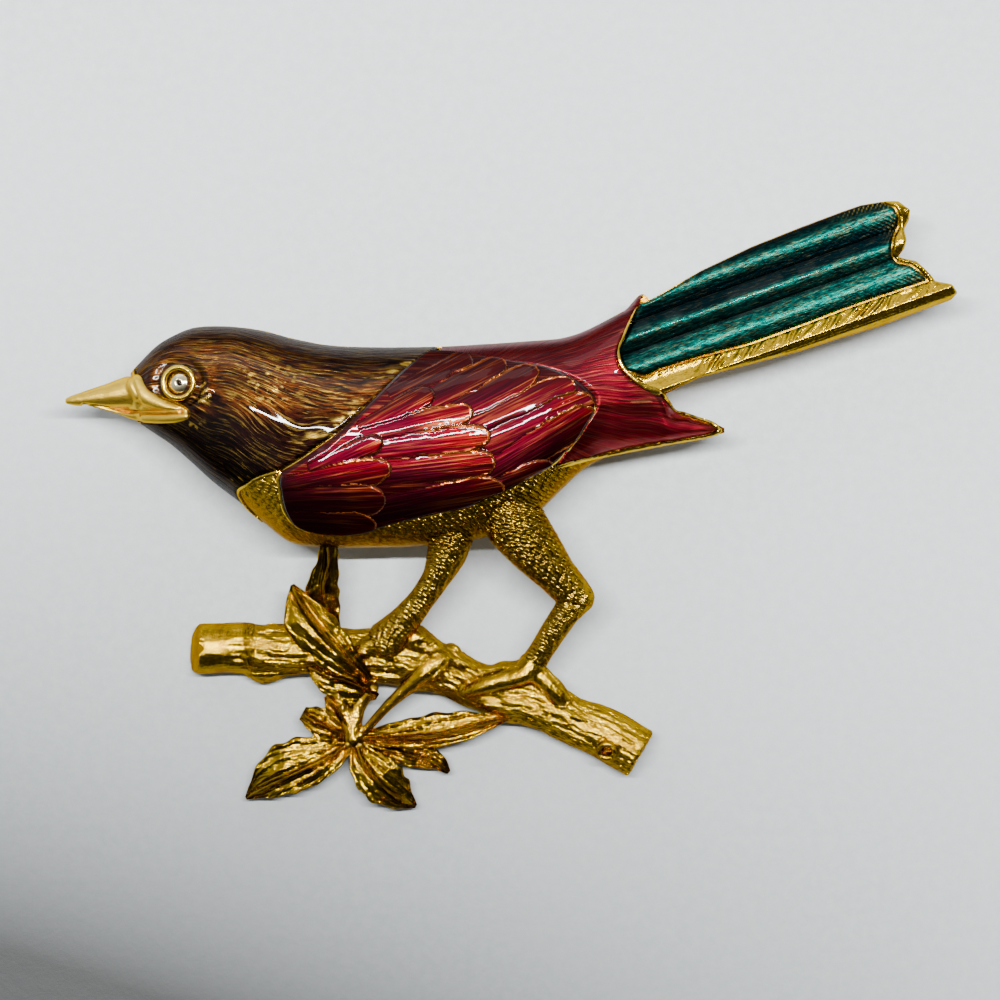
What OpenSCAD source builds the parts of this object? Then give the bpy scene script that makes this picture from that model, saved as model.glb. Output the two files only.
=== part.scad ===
// Bird brooch: a perching bird with enamelled fields on a cast leafy branch.
// It lies on its back with the front facing up, at its real size in millimetres.

/* [Body] */
// Length of the body, from the root of the beak to the tip of the lower covert
body_length = 47.6; // [44:0.1:52]
// Width to which the body's outline is drawn
body_width = 16; // [14.5:0.1:17.5]
// Height of the body's dome above its back
body_depth = 7; // [6:0.1:8]
// Height of the body's back above the surface that the brooch lies on
back_height = 5; // [4.6:0.1:5.8]
// Thickness of the metal over the hollow back
wall = 1.2; // [0.9:0.1:1.6]
// Length of the beak in front of the head
beak_length = 5.2; // [4.2:0.1:6.2]
// Height of the beak where it leaves the head
beak_width = 3.1; // [2.6:0.1:3.6]
// Diameter of the gold ring round the eye
eye_ring_d = 3; // [2.6:0.1:3.4]
// Diameter of the wire that the eye ring looks made of
eye_wire_d = 0.5; // [0.4:0.05:0.6]
// Diameter of the eyeball
eye_ball_d = 1.8; // [1.5:0.1:2]

/* [Enamel] */
// Thickness of the enamel fields
enamel = 0.35; // [0.25:0.05:0.45]
// Gap between an enamel field and the metal round it
gap = 0.04; // [0.03:0.01:0.06]
// Width of the gold rim that is left between two enamel fields
rim = 0.26; // [0.2:0.02:0.4]

/* [Wing] */
// Height of the wing's enamel above the body's dome
wing_rise = 0.35; // [0.2:0.05:0.5]
// Length of one wing feather
feather_length = 7.2; // [6:0.1:8.4]
// Width of one wing feather
feather_width = 2.6; // [2.2:0.1:3]
// Thickness of one wing feather
feather_t = 0.5; // [0.4:0.05:0.7]
// Height of a feather's tip above the wing
feather_lift = 0.4; // [0.3:0.05:0.6]

/* [Tail] */
// Length of the tail, from its root to the tip of the longest feather
tail_length = 24.6; // [22:0.1:27]
// Width to which the tail's outline is drawn
tail_width = 9.6; // [8.6:0.1:10.6]
// Thickness of the tail at the ridges of its feathers
tail_depth = 2.5; // [2.2:0.1:2.8]
// Direction of the tail, anticlockwise from straight on
tail_angle = 19.5; // [15:0.5:24]

/* [Legs] */
// Length of the near leg's thigh
thigh_length = 9.1; // [8.3:0.1:9.9]
// Thickness of the thigh where it leaves the belly
thigh_d = 4.8; // [4.2:0.1:5.4]
// Length of the near leg's shank
shank_length = 6.2; // [5.6:0.1:6.8]
// Thickness of the shank
shank_d = 2.5; // [2:0.1:3]
// Length of the far leg
far_leg_length = 7.1; // [6.5:0.1:7.7]
// Length of the front toe
toe_length = 5; // [4:0.1:6]
// Thickness of a toe
toe_d = 1.3; // [1:0.1:1.6]

/* [Branch] */
// Length of the branch along its chord
branch_length = 35.6; // [32:0.1:39]
// Thickness of the branch
branch_d = 3.84; // [3.4:0.02:4.4]
// Diameter of the knot's ring near the right end
knot_d = 1.6; // [1.3:0.1:2]
// Length of a full-sized leaf
leaf_length = 10; // [9:0.1:11]
// Width of a full-sized leaf
leaf_width = 4; // [3.4:0.1:4.6]
// Thickness of a leaf
leaf_t = 0.8; // [0.6:0.05:1]
// Height of a leaf's middle rib
rib = 0.25; // [0.15:0.05:0.4]

/* [Pin] */
// Diameter of the pin's stem
stem_d = 0.9; // [0.7:0.05:1.1]
// Diameter of the hinge's barrel and of the catch's roll
barrel_d = 2.2; // [1.8:0.1:2.4]
// Length of the hinge's barrel
barrel_length = 3.2; // [2.6:0.1:3.8]
// Length of the catch's roll
catch_length = 2; // [1.6:0.1:2.6]
// Diameter of the two soldered discs
disc_d = 4.4; // [3.8:0.1:5]
// Thickness of the two soldered discs
disc_t = 0.6; // [0.4:0.05:0.8]

/* [Hidden] */

// Place of the body's frame: the middle of the whole outline is the origin
body_place = [-30.341, 5.737, 0];
// How square the dome's section is: 2 is an ellipse
squareness = 2.35;
// Least half width and height of a section, so that insets never turn it inside out
least = 0.06;
// Height of the bare gold lip round the back of the body
lip = 0.6;
dome_steps = 12;
curve_steps = 2;
limb_fn = 10;
reach = 40;

// Sections of the body: share of its length, low and high edge as shares of its width, crown as a share
// of its depth
body_rows = [
    [0, 0.125, 0.335, 0.36], [0.017, 0.08, 0.39, 0.46], [0.044, 0.025, 0.47, 0.56],
    [0.071, -0.03, 0.52, 0.63], [0.104, -0.115, 0.56, 0.71], [0.139, -0.21, 0.57, 0.78],
    [0.183, -0.31, 0.565, 0.86], [0.227, -0.42, 0.545, 0.92], [0.271, -0.515, 0.51, 0.97],
    [0.333, -0.54, 0.475, 1], [0.402, -0.54, 0.465, 1], [0.472, -0.535, 0.465, 0.98],
    [0.541, -0.515, 0.47, 0.94], [0.595, -0.49, 0.48, 0.9], [0.647, -0.435, 0.49, 0.85],
    [0.691, -0.35, 0.50, 0.8], [0.726, -0.25, 0.51, 0.74], [0.76, -0.155, 0.54, 0.68],
    [0.795, -0.095, 0.59, 0.62], [0.83, -0.07, 0.645, 0.57], [0.874, -0.045, 0.7, 0.5],
    [0.904, -0.025, 0.21, 0.4], [0.941, -0.005, 0.13, 0.3], [0.975, 0.015, 0.095, 0.22],
    [1, 0.035, 0.06, 0.12]
];
// Stretch of the body that is hollow behind, as shares of its length
hollow_from = 0.235;
hollow_to = 0.73;

// Border lines of the enamel fields, as shares of the body's length and width
collar = [
    [0.532, 0.54], [0.521, 0.465], [0.487, 0.395], [0.454, 0.31], [0.403, 0.16], [0.361, 0.04],
    [0.319, -0.05], [0.286, -0.115], [0.259, -0.16]
];
breast = [
    [0.259, -0.16], [0.222, -0.19], [0.202, -0.225], [0.185, -0.26], [0.195, -0.33], [0.222, -0.42],
    [0.22, -0.5]
];
jaw = [
    [-0.013, 0.11], [0.017, 0.095], [0.054, 0.085], [0.087, 0.105], [0.1025, 0.135], [0.084, 0.17],
    [0.059, 0.2], [0.034, 0.23], [0.0185, 0.27], [0.01, 0.32], [0.005, 0.4]
];
wing_front = [
    [0.259, -0.16], [0.2555, -0.2], [0.259, -0.275], [0.266, -0.355], [0.282, -0.42],
    [0.309, -0.455], [0.343, -0.4675]
];
wing_low = [
    [0.343, -0.4675], [0.395, -0.45], [0.454, -0.405], [0.521, -0.36], [0.571, -0.325],
    [0.605, -0.275], [0.63, -0.25], [0.672, -0.18], [0.706, -0.125], [0.731, -0.06]
];
wing_top = [
    [0.731, -0.06], [0.751, 0.01], [0.766, 0.08], [0.78, 0.145], [0.782, 0.2], [0.771, 0.24],
    [0.748, 0.29], [0.719, 0.33], [0.686, 0.36], [0.639, 0.38], [0.605, 0.395], [0.573, 0.415],
    [0.541, 0.425], [0.504, 0.43]
];
covert_edge = [
    [0.716, -0.14], [0.748, -0.115], [0.79, -0.085], [0.874, -0.035], [0.958, 0.0075],
    [0.985, 0.03], [0.992, 0.0525], [0.978, 0.085], [0.95, 0.1125], [0.918, 0.15], [0.9025, 0.2],
    [0.894, 0.23]
];
tail_root = [
    [0.894, 0.23], [0.8655, 0.26], [0.84, 0.315], [0.825, 0.37], [0.82, 0.44], [0.8286, 0.51],
    [0.8437, 0.61], [0.857, 0.69], [0.8655, 0.78]
];
// Middle of the eye, and of the tail's root, in the same shares
eye_place = [0.0857, 0.28];
tail_place = [0.874, 0.46];

// Wing feathers: place of the tip as shares of the body's length and width, direction, and length and width
// as shares of a whole feather's
feathers = [
    [0.573, 0.415, 20, 0.84, 1.05], [0.63, 0.39, 22, 0.9, 1.05], [0.684, 0.36, 26, 0.89, 1.05],
    [0.743, 0.3, 24, 0.93, 1.05], [0.777, 0.215, 23, 1, 1.1], [0.782, 0.12, 28, 1.04, 1.1],
    [0.737, 0.01, 36, 0.9, 1], [0.677, -0.13, 34, 0.8, 0.8], [0.577, 0.135, 8, 0.93, 1],
    [0.605, 0.02, 4, 1.3, 1.05], [0.612, -0.105, 11, 1.07, 1], [0.625, -0.24, 12, 1.16, 1],
    [0.42, 0.035, 30, 0.64, 0.95], [0.441, -0.135, 7, 1.03, 1.1], [0.429, -0.285, 0, 1, 1.05],
    [0.415, -0.415, -9, 0.87, 0.8]
];

// Tail outline and its green field, as shares of the tail's length and width
tail_outline = [
    [-0.2, -0.3], [-0.2, 0.28], [0.052, 0.378], [0.237, 0.466], [0.417, 0.515], [0.5925, 0.533],
    [0.732, 0.54], [0.8, 0.539], [0.865, 0.5075], [0.9176, 0.46], [0.945, 0.356], [0.93, 0.275],
    [0.905, 0.22], [0.9, 0.13], [0.884, 0.066], [0.857, 0.02], [0.9075, -0.062], [0.9365, -0.2025],
    [0.944, -0.272], [0.99, -0.34], [1, -0.4275], [0.973, -0.466], [0.868, -0.468], [0.729, -0.475],
    [0.561, -0.455], [0.456, -0.449], [0.289, -0.412], [0.121, -0.375], [0.014, -0.402],
    [-0.03, -0.42]
];
green_edge = [
    [0.03, 0.6], [0.8, 0.6], [0.87, 0.5], [0.9, 0.42], [0.905, 0.33], [0.89, 0.25], [0.865, 0.19],
    [0.85, 0.12], [0.84, 0.05], [0.85, -0.02], [0.885, -0.07], [0.91, -0.16], [0.925, -0.255],
    [0.83, -0.248], [0.66, -0.243], [0.484, -0.2525], [0.31, -0.255], [0.143, -0.2175], [0, -0.205],
    [-0.03, -0.26]
];
// Ridges of the tail across its width: share of the width, share of its depth
tail_profile = [
    [-0.5, 0.3], [-0.44, 0.74], [-0.36, 1.06], [-0.255, 0.8], [-0.12, 1], [0.01, 0.76], [0.125, 1],
    [0.245, 0.74], [0.39, 0.96], [0.5, 0.66], [0.56, 0.3]
];
// Thickness of the tail along its length: share of its length, share of its depth
tail_rows = [[-0.22, 1], [0.2, 1], [0.6, 0.88], [1.02, 0.7]];
// Height of the tail's underside above the body's back, and how far it rises towards the tip
tail_base = 0.3;
tail_tip_rise = 0.5;

// Near leg: place of the hip as shares of the body's length and width, heights, and directions of the
// thigh and the shank
near_hip = [0.6292, -0.375];
near_hip_height = 2.4;
ankle_height = 1;
thigh_angle = -50.8;
shank_angle = 235.2;
thigh_rows = [[-0.25, 0.8], [0, 1], [0.4, 0.8], [0.75, 0.62], [1, 0.58]];
// Far leg: place of the hip, height of the hip above the back, and direction
far_hip = [0.5349, -0.51];
far_hip_height = 1.9;
far_leg_angle = 240.3;
// Height of the feet, as a share of the branch's thickness
foot_share = 0.95;

// Course of the branch: shares of its length from the near foot along x and y, and its radius as a share
// of its thickness
branch_rows = [
    [-0.7663, 0.0391, 0.45], [-0.754, 0.0375, 0.52], [-0.636, 0.0404, 0.53],
    [-0.6303, 0.0404, 0.49], [-0.5528, 0.036, 0.52], [-0.4742, 0.0337, 0.49],
    [-0.4067, 0.0292, 0.5], [-0.3281, 0.0202, 0.57], [-0.2607, 0.009, 0.58],
    [-0.1933, -0.0112, 0.51], [-0.1258, -0.0427, 0.48], [-0.0584, -0.0674, 0.54],
    [-0.0022, -0.0809, 0.54], [0.0539, -0.1056, 0.52], [0.0989, -0.1281, 0.5],
    [0.1551, -0.1494, 0.52], [0.2112, -0.1798, 0.54], [0.236, -0.1933, 0.53], [0.2472, -0.2, 0.47]
];
// Middle of the branch above the surface, as a share of its thickness
branch_middle = 0.44;
branch_sides = 12;
// Place of the knot's ring on the branch, in the same shares
knot_place = [0.1708, -0.191];
// Leaves: place of the base as shares of the branch's length from the near foot, direction, length and width
// as shares of a full-sized leaf's, heights of base, tip and arch, fold, and bend of the tip
leaf_rows = [
    [-0.3712, -0.0318, 146, 1, 1.12, 3.33, 3.93, 0.9, 0.4, -36],
    [-0.4605, 0.027, 91, 0.98, 0.87, 2.44, 5.8, 0.2, 0.3, 0],
    [-0.3506, -0.0607, 158, 0.58, 0.75, 3, 3.1, 0.3, 0.5, 0],
    [-0.4045, -0.1662, 150, 0.46, 1.05, 2.25, 1.8, 0.7, 0.35, 3],
    [-0.4012, -0.1631, 112, 0.43, 0.75, 2.1, 2.43, 0.3, 0.35, 2],
    [-0.4052, -0.1718, 202, 0.995, 1.05, 2.18, 1.3, 0.9, 0.35, 12],
    [-0.3984, -0.1737, -68, 0.79, 1.05, 2.32, 1.22, 1, 0.35, 38],
    [-0.3941, -0.1673, 5, 1.27, 0.76, 2.27, 2.6, 0.6, 0.4, 6],
    [-0.3927, -0.1712, -24, 0.81, 0.7, 1.93, 1.5, 0.5, 0.3, 8]
];
leaf_steps = 6;
// Shape of a leaf: share of its length, share of its width
leaf_shape = [[0, 0.16], [0.15, 0.55], [0.4, 1], [0.65, 0.9], [0.85, 0.55], [1, 0.1]];
// Across a leaf: share of its half width, share of its fold, share of its rib
leaf_across = [
    [-1, 1, 0], [-0.5, 0.4, 0], [0, 0, 1], [0.5, 0.4, 0], [1, 1, 0]
];
// Stem of the spray: place as shares of the branch's length from the near foot, height and thickness as
// shares of the branch's
spray_stem = [
    [-0.218, -0.0112, 0.9, 0.46], [-0.2854, -0.0674, 0.84, 0.3], [-0.3798, -0.1438, 0.66, 0.24],
    [-0.4, -0.1685, 0.56, 0.24]
];
// Stub of a broken twig beside the near foot, and a bud under the left end, in the same shares
stub = [[0.0337, -0.036, 0.62, 0.5], [0.0562, -0.0674, 0.62, 0.52]];
bud = [[-0.61, 0.004, 0.35, 0.5], [-0.575, 0, 0.35, 0.5]];

// Height and place of the pin
stem_height = barrel_d / 2;
hinge_place = [0.17, 0.175];
catch_place = [0.79, 0.175];
pin_span = (catch_place[0] - hinge_place[0]) * body_length;
disc_top = back_height - gap;

function row_index(rows, s, i = 0) =
    i >= len(rows) - 2 || s < rows[i + 1][0] ? i : row_index(rows, s, i + 1);

// Value of column c of a table at the share s, on a smooth curve through its rows
function smooth(rows, s, c) =
    let (
        i = row_index(rows, s),
        a = rows[max(i - 1, 0)],
        b = rows[i],
        d = rows[i + 1],
        e = rows[min(i + 2, len(rows) - 1)],
        step = d[0] - b[0],
        t = (s - b[0]) / step,
        m0 = (d[c] - a[c]) / (d[0] - a[0]) * step,
        m1 = (e[c] - b[c]) / (e[0] - b[0]) * step
    )
    b[c] + t * (m0 + t * (3 * (d[c] - b[c]) - 2 * m0 - m1 + t * (2 * (b[c] - d[c]) + m0 + m1)));

// A smooth line through some points, with its ends left where they are
function curve(points, steps = curve_steps) =
    let (last = len(points) - 1)
    [
        for (i = [0 : last - 1], k = [0 : steps - 1])
            let (
                a = points[max(i - 1, 0)], b = points[i], c = points[i + 1], d = points[min(i + 2, last)],
                t = k / steps, m0 = (c - a) / 2, m1 = (d - b) / 2
            )
            b + t * (m0 + t * (3 * (c - b) - 2 * m0 - m1 + t * (2 * (b - c) + m0 + m1))),
        points[last]
    ];
function backwards(list) = [for (i = [len(list) - 1 : -1 : 0]) list[i]];
function turned(p, angle) = [p[0] * cos(angle) - p[1] * sin(angle), p[0] * sin(angle) + p[1] * cos(angle)];

// Plan of the body, and of the tail, from shares to millimetres
function on_body(p) = [p[0] * body_length, p[1] * body_width];
function on_tail(p) = on_body(tail_place) + turned([p[0] * tail_length, p[1] * tail_width], tail_angle);

function low(s) = smooth(body_rows, s, 1) * body_width;
function high(s) = smooth(body_rows, s, 2) * body_width;
function crown(s) = smooth(body_rows, s, 3) * body_depth;
// Section of the body's dome at the share s, from its low edge over the crown to its high edge
function dome(s, inset, back = 0, extra = 0) =
    let (
        half = max((high(s) - low(s)) / 2 - inset - extra, least),
        middle = (high(s) + low(s)) / 2,
        rise = max(crown(s) - inset - extra, least) - back,
        x = s * body_length + (s == 0 ? inset : s == 1 ? -inset : 0)
    )
    [
        for (i = [0 : dome_steps])
            let (a = 180 - 180 * i / dome_steps)
            [
                x,
                middle + half * sign(cos(a)) * pow(abs(cos(a)), 2 / squareness),
                back_height + back + rise * pow(max(sin(a), 0), 2 / squareness)
            ]
    ];
// Height of the dome over a point of the plan, in shares
function dome_height(p) =
    let (
        half = (high(p[0]) - low(p[0])) / 2,
        t = min(abs(p[1] * body_width - (high(p[0]) + low(p[0])) / 2) / half, 1)
    )
    back_height + crown(p[0]) * pow(1 - pow(t, squareness), 1 / squareness);
// Shares of the body's length at which its sections lie, and those of them that lie between two shares
stations = [
    for (i = [0 : len(body_rows) - 2])
        let (a = body_rows[i][0], b = body_rows[i + 1][0])
        each (b - a > 0.03 ? [a, (a + b) / 2] : [a]),
    1
];
function stations_in(from, to) = [for (s = stations) if (s >= from && s <= to) s];

// A closed solid through rings of points. Each ring runs clockwise seen from the last one
module loft(rings) {
    m = len(rings[0]);
    last = len(rings) - 1;
    polyhedron(
        points = [for (ring = rings, p = ring) p],
        faces = concat(
            [
                for (i = [0 : last - 1], j = [0 : m - 1])
                    let (k = (j + 1) % m, a = i * m, b = a + m)
                    each [[a + j, a + k, b + k], [a + j, b + k, b + j]]
            ],
            [[for (j = [m - 1 : -1 : 0]) j]],
            [[for (j = [0 : m - 1]) last * m + j]]
        )
    );
}

// A closed sheet between an upper and a lower line at each section, with square ends
module sheet(uppers, lowers) {
    m = len(uppers[0]);
    n = 2 * m;
    last = len(uppers) - 1;
    polyhedron(
        points = [for (i = [0 : last]) each concat(uppers[i], backwards(lowers[i]))],
        faces = concat(
            [
                for (i = [0 : last - 1], j = [0 : n - 1])
                    let (k = (j + 1) % n, a = i * n, b = a + n)
                    each [[a + j, a + k, b + k], [a + j, b + k, b + j]]
            ],
            [for (j = [0 : m - 2]) [n - 1 - j, n - 2 - j, j + 1, j]],
            [
                for (j = [0 : m - 2])
                    let (a = last * n)
                    [a + j, a + j + 1, a + n - 2 - j, a + n - 1 - j]
            ]
        )
    );
}

// A plan outline raised through the brooch from a height, grown or shrunk all round
module prism(points, grow = 0, from = 0) {
    translate([0, 0, from]) linear_extrude(reach) offset(delta = grow) polygon(points);
}

// The body's dome as a solid with a flat back, and as a skin between two insets
module body_solid(inset, from = 0, to = 1, back = 0) {
    loft([for (s = stations_in(from, to)) dome(s, inset, back)]);
}
module body_skin(outer, inner, from = 0, to = 1) {
    sections = stations_in(from, to);
    sheet([for (s = sections) dome(s, outer)], [for (s = sections) dome(s, inner)]);
}
// The hollow behind the wing, rounded off towards its ends
module hollow() {
    steps = 10;
    translate([0, 0, -gap])
        loft([
            for (i = [0 : steps])
                let (f = i / steps, narrowing = 2.4 * pow(abs(2 * f - 1), 5))
                dome(hollow_from + (hollow_to - hollow_from) * f, enamel + wall, 0, narrowing)
        ]);
}

// Plan outlines of the four enamel fields, and of what lies on the tail's side of its root
collar_low = [for (p = curve(collar)) if (p[1] < 0.43) p];
collar_high = [for (p = curve(collar)) if (p[1] > 0.43) p];
head_shares = concat(
    [[0.532, 0.8]], curve(collar), curve(breast), [[0.2, -0.65], [-0.05, -0.4]], curve(jaw), [[0.005, 0.8]]
);
wing_shares = concat(collar_low, curve(wing_front), curve(wing_low), curve(wing_top));
back_shares = concat(
    curve(covert_edge), curve(tail_root), [[0.535, 0.8]], collar_high, backwards(curve(wing_top))
);
tail_shares = concat(curve(tail_root), [[0.9, 1.7], [1.7, 1.7], [1.7, 0], [0.88, 0.12]]);
head_field = [for (p = head_shares) on_body(p)];
wing_field = [for (p = wing_shares) on_body(p)];
back_field = [for (p = back_shares) on_body(p)];
tail_side = [for (p = tail_shares) on_body(p)];
tail_field = concat(
    [for (p = backwards(curve(tail_root))) on_body(p)],
    [for (p = backwards(green_edge)) on_tail(p)]
);

// Heights of the tail at a share of its length: its underside, and its ridged top lowered by an inset
function tail_floor(share) = back_height + tail_base + tail_tip_rise * max(share, 0);
function tail_top(share, inset) =
    let (depth = smooth(tail_rows, share, 1) * tail_depth)
    [for (p = tail_profile) [each on_tail([share, p[0]]), tail_floor(share) + p[1] * depth - inset]];
tail_stations = [for (row = tail_rows) row[0]];

module tail_block() {
    last = len(tail_profile) - 1;
    loft([
        for (s = tail_stations)
            concat(
                tail_top(s, 0),
                [for (i = [last, 0]) [each on_tail([s, tail_profile[i][0]]), tail_floor(s)]]
            )
    ]);
}
module tail_skin(outer, inner) {
    sheet([for (s = tail_stations) tail_top(s, outer)], [for (s = tail_stations) tail_top(s, inner)]);
}

// A ball, and a limb through a chain of balls that each have a place and a radius
module ball(place, r) {
    translate(place) sphere(r, $fn = limb_fn);
}
module limb(balls) {
    for (i = [0 : len(balls) - 2])
        hull() {
            ball(balls[i][0], balls[i][1]);
            ball(balls[i + 1][0], balls[i + 1][1]);
        }
}

function heading(angle, length) = [length * cos(angle), length * sin(angle)];
function between(a, b, t) = a + (b - a) * t;
foot_height = foot_share * branch_d;
near_hip_point = [each on_body(near_hip), back_height + near_hip_height];
ankle_point = [each (on_body(near_hip) + heading(thigh_angle, thigh_length)), back_height + ankle_height];
near_foot = on_body(near_hip) + heading(thigh_angle, thigh_length) + heading(shank_angle, shank_length);
near_foot_point = [each near_foot, foot_height];
far_hip_point = [each on_body(far_hip), back_height + far_hip_height];
far_foot = on_body(far_hip) + heading(far_leg_angle, far_leg_length);
far_foot_point = [each far_foot, foot_height - toe_d / 2];

module near_leg() {
    limb([for (row = thigh_rows) [between(near_hip_point, ankle_point, row[0]), row[1] * thigh_d / 2]]);
    limb([
        [ankle_point, shank_d * 0.5], [between(ankle_point, near_foot_point, 0.5), shank_d * 0.48],
        [near_foot_point, shank_d * 0.4]
    ]);
    limb([
        [near_foot_point, toe_d * 0.6],
        [near_foot_point + [each heading(195, toe_length * 0.5), 0], toe_d * 0.5],
        [near_foot_point + [each heading(200, toe_length), -toe_d * 0.4], toe_d * 0.4]
    ]);
    limb([
        [near_foot_point, toe_d * 0.55],
        [near_foot_point + [each heading(-42, toe_length * 0.62), -toe_d * 0.3], toe_d * 0.5]
    ]);
}

module far_leg() {
    limb([
        [far_hip_point, shank_d * 0.76], [between(far_hip_point, far_foot_point, 0.35), shank_d * 0.52],
        [between(far_hip_point, far_foot_point, 0.7), shank_d * 0.5],
        [far_foot_point, shank_d * 0.6],
        [far_foot_point + [each heading(215, toe_length * 0.7), -toe_d * 0.5], toe_d * 0.9]
    ]);
}

// The beak: two tapered halves that part along the gape
module beak() {
    root = [0, on_body([0, 0.215])[1], back_height];
    tip = root + [-beak_length, -beak_width * 0.16, beak_width * 0.35];
    for (side = [[0.12, 0.4, 0], [-0.2, 0.3, 0.22]])
        hull() {
            ball(tip + [side[2] * beak_length, 0, 0], beak_width * 0.09);
            translate(root + [0.2, side[0] * beak_width, beak_width * 0.3])
                scale([0.3, 1, 1.5]) sphere(side[1] * beak_width, $fn = 12);
        }
}

// The gold ring and the ball of the eye, on the dome
module eye() {
    at = on_body(eye_place);
    translate([at[0], at[1], dome_height(eye_place)]) {
        rotate([-18, -14, 0]) {
            rotate_extrude($fn = 18)
                translate([(eye_ring_d - eye_wire_d) / 2, 0])
                    circle(d = eye_wire_d, $fn = 6);
            translate([0, 0, -eye_wire_d]) sphere(d = eye_ball_d, $fn = 12);
            translate([0, 0, -enamel * 2]) cylinder(d = eye_ring_d - eye_wire_d, h = enamel * 2, $fn = 20);
        }
    }
}

// Ring of the branch at one of its rows, square to its course and flat underneath
function branch_angle(i) =
    let (a = branch_rows[max(i - 1, 0)], b = branch_rows[min(i + 1, len(branch_rows) - 1)])
    atan2(b[1] - a[1], b[0] - a[0]);
function branch_ring(i) =
    let (row = branch_rows[i], r = row[2] * branch_d, angle = branch_angle(i))
    [
        for (j = [0 : branch_sides - 1])
            let (
                a = 180 - 360 * j / branch_sides,
                p = on_branch(row) + turned([0, r * cos(a)], angle)
            )
            [p[0], p[1], max(branch_middle * branch_d + r * sin(a), 0)]
    ];

function on_branch(p) = near_foot + [p[0], p[1]] * branch_length;
// A run of balls along rows of places, heights and thicknesses
module twig(rows) {
    limb([for (row = rows) [[each on_branch(row), row[2] * branch_d], row[3] * branch_d / 2]]);
}

module branch() {
    knot = on_branch(knot_place);
    loft([for (i = [0 : len(branch_rows) - 1]) branch_ring(i)]);
    twig(spray_stem);
    twig(stub);
    twig(bud);
    translate([knot[0], knot[1], branch_middle * branch_d + branch_d * 0.42])
        rotate([20, 0, 0])
            rotate_extrude($fn = 12) translate([knot_d * 0.36, 0]) circle(d = knot_d * 0.4, $fn = 6);
}

// One leaf of the spray: a thin folded blade with a raised middle rib
function leaf_line(row, f, drop) =
    let (
        angle = row[2] + row[9] * f,
        parts = [for (g = [0 : 0.125 : 0.999]) if (g < f) g],
        along = [for (g = parts) min(0.125, f - g) * turned([1, 0], row[2] + row[9] * g)],
        way = [for (k = [0, 1]) len(along) == 0 ? 0 : [for (v = along) v[k]] * [for (v = along) 1]],
        base = on_branch(row) + way * row[3] * leaf_length,
        half = smooth(leaf_shape, f, 1) * row[4] * leaf_width / 2,
        height = row[5] + (row[6] - row[5]) * f + row[7] * 4 * f * (1 - f)
    )
    [
        for (a = leaf_across)
            let (p = base + turned([0, a[0] * half], angle))
            [p[0], p[1], max(height - row[8] * abs(a[1]) * half + a[2] * rib - drop, 0)]
    ];
module leaf(row) {
    shares = [for (i = [0 : leaf_steps]) i / leaf_steps];
    sheet([for (f = shares) leaf_line(row, f, 0)], [for (f = shares) leaf_line(row, f, leaf_t)]);
}

// The metal under the enamel, and the metal that stands as high as the enamel round its fields
module body_metal() {
    difference() {
        body_solid(enamel, 0, 1, lip / 2);
        prism(tail_field);
    }
    difference() {
        union() {
            body_solid(0);
            near_leg();
        }
        for (field = [head_field, wing_field, back_field])
            prism(field, gap - rim / 2, back_height + lip);
        prism(tail_field);
    }
    eye_socket();
    eye();
}
// Disc of metal that fills the hole in the head's enamel under the eye
module eye_socket() {
    at = on_body(eye_place);
    intersection() {
        body_solid(0);
        translate([at[0], at[1], 0]) cylinder(d = eye_ring_d, h = reach, $fn = 20);
    }
}
module tail_metal() {
    intersection() {
        difference() {
            tail_block();
            intersection() {
                tail_skin(-enamel, enamel);
                prism(tail_field, gap - rim / 2);
            }
        }
        prism([for (p = tail_outline) on_tail(p)]);
        prism(tail_side, rim);
    }
}

module casting() {
    color("goldenrod")
        translate(body_place)
            difference() {
                union() {
                    body_metal();
                    tail_metal();
                    beak();
                    far_leg();
                    branch();
                    for (row = leaf_rows)
                        leaf(row);
                }
                hollow();
            }
}

module head_enamel() {
    at = on_body(eye_place);
    color("saddlebrown")
        translate(body_place)
            difference() {
                intersection() {
                    body_skin(0, enamel - gap, 0, 0.58);
                    prism(head_field, -rim / 2, back_height + lip + gap);
                }
                translate([at[0], at[1], 0]) cylinder(d = eye_ring_d + 2 * gap, h = reach, $fn = 20);
            }
}

// Slope of the dome across the body over a point of the plan
function side_slope(p) =
    let (d = [0, 0.03])
    atan2(dome_height(p + d) - dome_height(p - d), 2 * d[1] * body_width);
// One wing feather: a thin blade that rises towards its tip
module feather(row) {
    tip = [row[0], row[1]];
    hull()
        for (part = [[1, 0.45], [0.45, 1], [0.12, 0.62]]) {
            back = heading(row[2], part[0] * row[3] * feather_length);
            p = tip - [back[0] / body_length, back[1] / body_width];
            at = on_body(p);
            r = part[1] * row[4] * feather_width / 2;
            translate([at[0], at[1], dome_height(p) + wing_rise + feather_lift * (1 - part[0]) - feather_t])
                rotate([side_slope(p), 0, 0])
                    cylinder(r1 = r, r2 = r * 0.8, h = feather_t, $fn = 9);
        }
}

module wing_enamel() {
    color("darkred")
        translate(body_place)
            difference() {
                intersection() {
                    union() {
                        body_solid(-wing_rise, 0.2, 0.84);
                        for (row = feathers)
                            feather(row);
                    }
                    prism(wing_field, -rim / 2, back_height + lip + gap);
                }
                body_solid(enamel - gap, 0.18, 0.88);
            }
}

module back_enamel() {
    color("firebrick")
        translate(body_place)
            intersection() {
                body_skin(0, enamel - gap, 0.45, 1);
                prism(back_field, -rim / 2, back_height + lip + gap);
            }
}

module tail_enamel() {
    color("teal")
        translate(body_place)
            intersection() {
                tail_skin(0, enamel - gap);
                prism(tail_field, -rim / 2);
                prism([for (p = tail_outline) on_tail(p)]);
            }
}

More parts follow.
